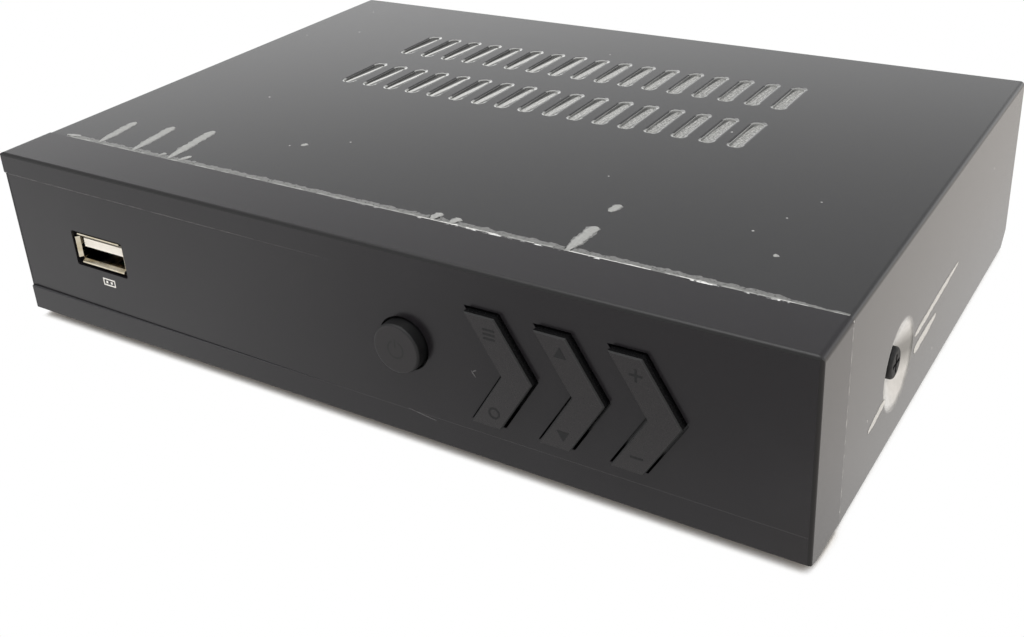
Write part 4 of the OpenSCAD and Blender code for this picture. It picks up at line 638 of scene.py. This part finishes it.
# each stroke: start and end on the face and its width, in mm
scratches = {
    "cover_top": [((-70.2, 13.0), (-72.0, 24.4), 1.7), ((-60.3, 12.8), (-62.2, 25.8), 1.75),
                  ((-50.5, 12.9), (-52.7, 27.6), 1.85), ((-47.9, 13.0), (-46.9, 15.6), 1.0),
                  ((-53.3, 12.9), (-52.8, 14.6), 0.9), ((38.6, 12.7), (38.7, 22.2), 1.9),
                  ((37.9, 28.2), (38.3, 31.4), 1.4), ((12.2, 12.7), (12.5, 15.4), 1.5),
                  ((16.0, 12.8), (16.7, 15.0), 1.4), ((-30.6, 29.0), (-30.0, 30.3), 1.1),
                  ((68.2, 24.8), (68.7, 25.5), 0.8), ((-80.0, 13.2), (-76.6, 13.7), 1.0)],
    "cover_side": [((75.9, 15.8), (48.4, 14.6), 1.25), ((62.1, 11.9), (48.8, 11.3), 1.7),
                   ((24.6, 9.8), (32.9, 10.8), 1.3)],
    "front": [((28.2, 17.3), (27.4, 18.4), 0.22), ((27.5, 18.2), (28.4, 18.7), 0.18),
              ((13.6, 6.9), (19.4, 6.1), 0.18)],
}
strokeShape = {"step": 0.4, "leastSteps": 8, "root": 0.4, "growth": 3.0, "blunt": 11.0, "past": 1.006,
               "uneven": 0.32, "waver": 1.6, "acrossWaver": 5.0, "seedStep": 7.3, "borderSeed": 2.0}
wearLay = {"thick": 0.02, "rub": 0.012, "core": 0.035, "nick": 0.058, "halo": 1.35}
coverTop = (coverHigh[2] - caseFloor) / mm
coverSide = coverHigh[0] / mm
# strokes are drawn in x and y; on the side x runs back and y up, on the front y runs up
lays = {"cover_top": (Matrix.Identity(3), (0, 0, coverTop)),
        "cover_side": (Matrix(((0, 0, 1), (1, 0, 0), (0, 1, 0))), (coverSide, 0, 0)),
        "front": (Matrix(((1, 0, 0), (0, 0, -1), (0, 1, 0))), (0, 0, 0))}


def addStroke(shape, start, end, width, seed):
    # a ragged sliver, narrow at its root and blunt at its end
    run = Vector(end) - Vector(start)
    steps = max(strokeShape["leastSteps"], int(run.length / strokeShape["step"]))
    root = strokeShape["root"]
    strip = bmesh.ops.create_grid(shape, x_segments=steps, y_segments=2, size=0.5)["verts"]
    for v in strip:
        along = v.co.x + 0.5
        swell = root + (1 - root) * min(1.0, along * strokeShape["growth"])
        blunting = min(1.0, strokeShape["blunt"] * (strokeShape["past"] - along)) ** 0.5
        wave = (along * run.length * strokeShape["waver"], v.co.y * strokeShape["acrossWaver"], seed)
        uneven = 1 + strokeShape["uneven"] * noise.noise(wave)
        v.co = (along * run.length, v.co.y * width * swell * blunting * uneven, 0)
    bmesh.ops.rotate(shape, matrix=Matrix.Rotation(math.atan2(run.y, run.x), 3, "Z"), verts=strip)
    bmesh.ops.translate(shape, vec=(*start, 0), verts=strip)


def layWear(name, shape, material, face, rise):
    bmesh.ops.solidify(shape, geom=shape.faces[:], thickness=wearLay["thick"])
    bmesh.ops.translate(shape, vec=(0, 0, rise), verts=shape.verts)
    turn, place = lays[face]
    bmesh.ops.transform(shape, matrix=turn.to_4x4(), verts=shape.verts)
    placed(shape, caseSpot(*place))
    keepPiece(name, shape, material, "case")


# a scratch in the coat has a grey border; one in the plastic has none
cores = {"cover_top": "scuffed_grey_primer", "cover_side": "nicked_bright_steel",
         "front": "stress_whitened_abs"}
for face, strokes in scratches.items():
    core, border = bmesh.new(), bmesh.new()
    for seed, (start, end, width) in enumerate(strokes):
        draw = seed * strokeShape["seedStep"]
        addStroke(core, start, end, width, draw)
        addStroke(border, start, end, width * wearLay["halo"], draw + strokeShape["borderSeed"])
    layWear(face + "_scratches", core, wear[cores[face]], face, wearLay["core"])
    if face == "front":
        border.free()
    else:
        layWear(face + "_rubs", border, wear["rubbed_powder_coat"], face, wearLay["rub"])

# the coat along the cover's front edge, over the top and down the right: a rubbed band, then primer, then
# a broken bright line; each is at least as wide as thin, spreads by broad and breaks more readily with gap
edgeBands = {
    "cover_edge_rub": {"face": "cover_top", "first": -79.5, "last": 84.2, "thin": 1.25, "broad": 1.1,
                       "gap": -1.0, "wear": "rubbed_powder_coat", "rise": wearLay["rub"], "seed": 2.0},
    "cover_edge_scuff": {"face": "cover_top", "first": -79.0, "last": 84.2, "thin": 0.2, "broad": 0.6,
                         "gap": -0.12, "wear": "scuffed_grey_primer", "rise": wearLay["core"], "seed": 8.0},
    "cover_edge_nicks": {"face": "cover_top", "first": 3.0, "last": 84.2, "thin": 0.14, "broad": 0.35,
                         "gap": 0.04, "wear": "nicked_bright_steel", "rise": wearLay["nick"], "seed": 5.0},
    "cover_seam_nicks": {"face": "cover_side", "first": 2.5, "last": 36.2, "thin": 0.2, "broad": 0.25,
                         "gap": -0.18, "wear": "nicked_bright_steel", "rise": wearLay["core"], "seed": 14.0},
}
bandShape = {"step": 0.4, "setback": 0.02, "share": 0.6, "base": 0.3, "slow": 0.55, "quick": 1.7,
             "quickShare": 0.5, "quickSeed": 3, "gapWaver": 0.37, "gapSeed": (9.5, 1.3),
             "taperFrom": 72.0, "taperTo": 84.2, "taperEnd": 0.4}
seamY = (coverLow[1] - frontFace) / mm


def bandWidth(band, along):
    seed = band["seed"]
    slow = noise.noise((along * bandShape["slow"], seed, 0))
    quick = noise.noise((along * bandShape["quick"], seed, bandShape["quickSeed"]))
    wander = max(0.0, bandShape["base"] + slow + bandShape["quickShare"] * quick)
    # the band runs out to a thin line at the right corner
    left = (bandShape["taperTo"] - along) / (bandShape["taperTo"] - bandShape["taperFrom"])
    narrow = max(bandShape["taperEnd"], min(1.0, left))
    return narrow * (band["thin"] + band["broad"] * bandShape["share"] * wander)


for name, band in edgeBands.items():
    shape = bmesh.new()
    length = band["last"] - band["first"]
    strip = bmesh.ops.create_grid(shape, x_segments=int(length / bandShape["step"]), y_segments=1,
                                  size=0.5)["verts"]
    for v in strip:
        along = band["first"] + (v.co.x + 0.5) * length
        v.co = (along, seamY + (bandWidth(band, along) if v.co.y > 0 else bandShape["setback"]), 0)
    seedY, seedZ = band["seed"] + bandShape["gapSeed"][0], bandShape["gapSeed"][1]
    lost = [f for f in shape.faces
            if noise.noise((f.calc_center_median().x * bandShape["gapWaver"], seedY, seedZ)) < band["gap"]]
    bmesh.ops.delete(shape, geom=lost, context="FACES")
    if band["face"] == "cover_side":
        # drawn along the height: x runs up and y runs back
        for v in shape.verts:
            v.co = (v.co.y, v.co.x, 0)
    layWear(name, shape, wear[band["wear"]], band["face"], band["rise"])
print("stage: print and wear made")

# floor: plain white card; where the camera or a reflection looks it is the white background,
# and it goes back to lit card close to the case, where the shadow lies
floorLook = {"card": ("#efe5d8", "#f6efe5"), "fibre": 3.0, "rough": 0.9, "size": 12,
             "shadow": 2.9, "shadowSamples": 16, "shadowFrom": (0.38, 0.68),
             "dimAt": (38.0, -62.0), "dimFrom": (35.0, 105.0), "dim": (0.6, 1.0),
             "warm": "#fff9f3", "warmSpan": (70.0, 100.0)}
card, tree, shader, spot = newMaterial("white_card_floor", Roughness=floorLook["rough"])
fibre = addNode(tree, "TexNoise", {"Vector": spot, "Scale": 1 / floorLook["fibre"]})
cardTone = addNode(tree, "Mix", {factor: fibre, colours: map(linear, floorLook["card"])}, data_type="RGBA")
tree.links.new(cardTone.outputs[2], shader.inputs["Base Color"])
path = addNode(tree, "LightPath")
mirrored = addNode(tree, "Math", {0: path.outputs["Is Glossy Ray"], 1: path.outputs["Is Transmission Ray"]},
                   operation="MAXIMUM")
looked = addNode(tree, "Math", {0: path.outputs["Is Camera Ray"], 1: mirrored}, operation="MAXIMUM")
near = addNode(tree, "AmbientOcclusion", {"Distance": floorLook["shadow"] * mm},
               samples=floorLook["shadowSamples"])
clear = addNode(tree, "MapRange", {"Value": near.outputs["AO"], fromSpan: floorLook["shadowFrom"]},
                interpolation_type="SMOOTHSTEP")
white = addNode(tree, "Math", {0: looked, 1: clear}, operation="MULTIPLY")
# what reflects in the case: the card's glow is dimmed below the camera as a painted shadow of the camera,
# and is a little warm on the right
dimX, dimY = floorLook["dimAt"]
fromCamera = addNode(tree, "Mapping", {"Vector": spot, "Location": (-dimX, -dimY, 0), "Scale": (1, 1, 0)})
away = addNode(tree, "VectorMath", {0: fromCamera}, operation="LENGTH").outputs["Value"]
shade = addNode(tree, "MapRange", {"Value": away, fromSpan: floorLook["dimFrom"], toSpan: floorLook["dim"]})
glow = addNode(tree, "Mix", {factor: mirrored, amounts: (1.0, shade)}, data_type="FLOAT")
across = addNode(tree, "SeparateXYZ", {"Vector": spot}).outputs["X"]
warming = addNode(tree, "MapRange", {"Value": across, fromSpan: floorLook["warmSpan"]})
warm = addNode(tree, "Math", {0: warming, 1: mirrored}, operation="MULTIPLY")
tint = addNode(tree, "Mix", {factor: warm, colours: ((1, 1, 1, 1), linear(floorLook["warm"]))},
               data_type="RGBA")
paper = addNode(tree, "Emission", {"Color": tint, "Strength": glow})
blend = addNode(tree, "MixShader", {0: white, 1: shader, 2: paper})
output = next(n for n in tree.nodes if n.type == "OUTPUT_MATERIAL")
tree.links.new(blend.outputs[0], output.inputs["Surface"])
bpy.ops.mesh.primitive_plane_add(size=floorLook["size"])
floor = bpy.context.object
floor.name = "floor"
floor.data.materials.append(card)

# light: a white sweep that is brightest low down, a dimmer ceiling, and one soft lamp overhead
lightLook = {"heights": (0.24, 0.4), "levels": (1.35, 0.55),
             "lampSize": 0.9, "lampSpot": (0, -0.1, 1.1), "lampWatts": 14.0}
world = bpy.data.worlds.new("studio")
bpy.context.scene.world = world
world.use_nodes = True
tree = world.node_tree
tree.nodes.clear()
heading = addNode(tree, "SeparateXYZ", {"Vector": addNode(tree, "TexCoord").outputs["Generated"]})
level = addNode(tree, "MapRange", {"Value": heading.outputs["Z"], fromSpan: lightLook["heights"],
                                   toSpan: lightLook["levels"]}, interpolation_type="SMOOTHSTEP")
skyPath = addNode(tree, "LightPath")
shown = addNode(tree, "Mix", {factor: skyPath.outputs["Is Camera Ray"], amounts: (level, 1.0)},
                data_type="FLOAT")
sky = addNode(tree, "Background", {"Color": (1, 1, 1, 1), "Strength": shown})
addNode(tree, "OutputWorld", {"Surface": sky})
lampData = bpy.data.lights.new("overhead_softbox", "AREA")
lampData.shape = "SQUARE"
lampData.size = lightLook["lampSize"]
lampData.energy = lightLook["lampWatts"]
lamp = bpy.data.objects.new("overhead_softbox", lampData)
bpy.context.collection.objects.link(lamp)
lamp.location = lightLook["lampSpot"]

# camera: stands where the photo was taken, in case millimetres and degrees, fitted to the case's corners
cameraLook = {"lens": 43.8083, "sensor": 36, "shiftY": -0.0865, "nearest": 0.01,
              "spot": (128.6452, -138.3551, 125.7168), "turn": (64.2015, 3.0285, 32.0977)}
cameraData = bpy.data.cameras.new("photo_camera")
cameraData.lens = cameraLook["lens"]
cameraData.sensor_width = cameraLook["sensor"]
cameraData.shift_y = cameraLook["shiftY"]
cameraData.clip_start = cameraLook["nearest"]
camera = bpy.data.objects.new("photo_camera", cameraData)
bpy.context.collection.objects.link(camera)
camera.location = caseSpot(*cameraLook["spot"])
camera.rotation_euler = [math.radians(a) for a in cameraLook["turn"]]
bpy.context.scene.camera = camera
bpy.context.scene.view_settings.view_transform = "Standard"
print("stage: camera and light set")
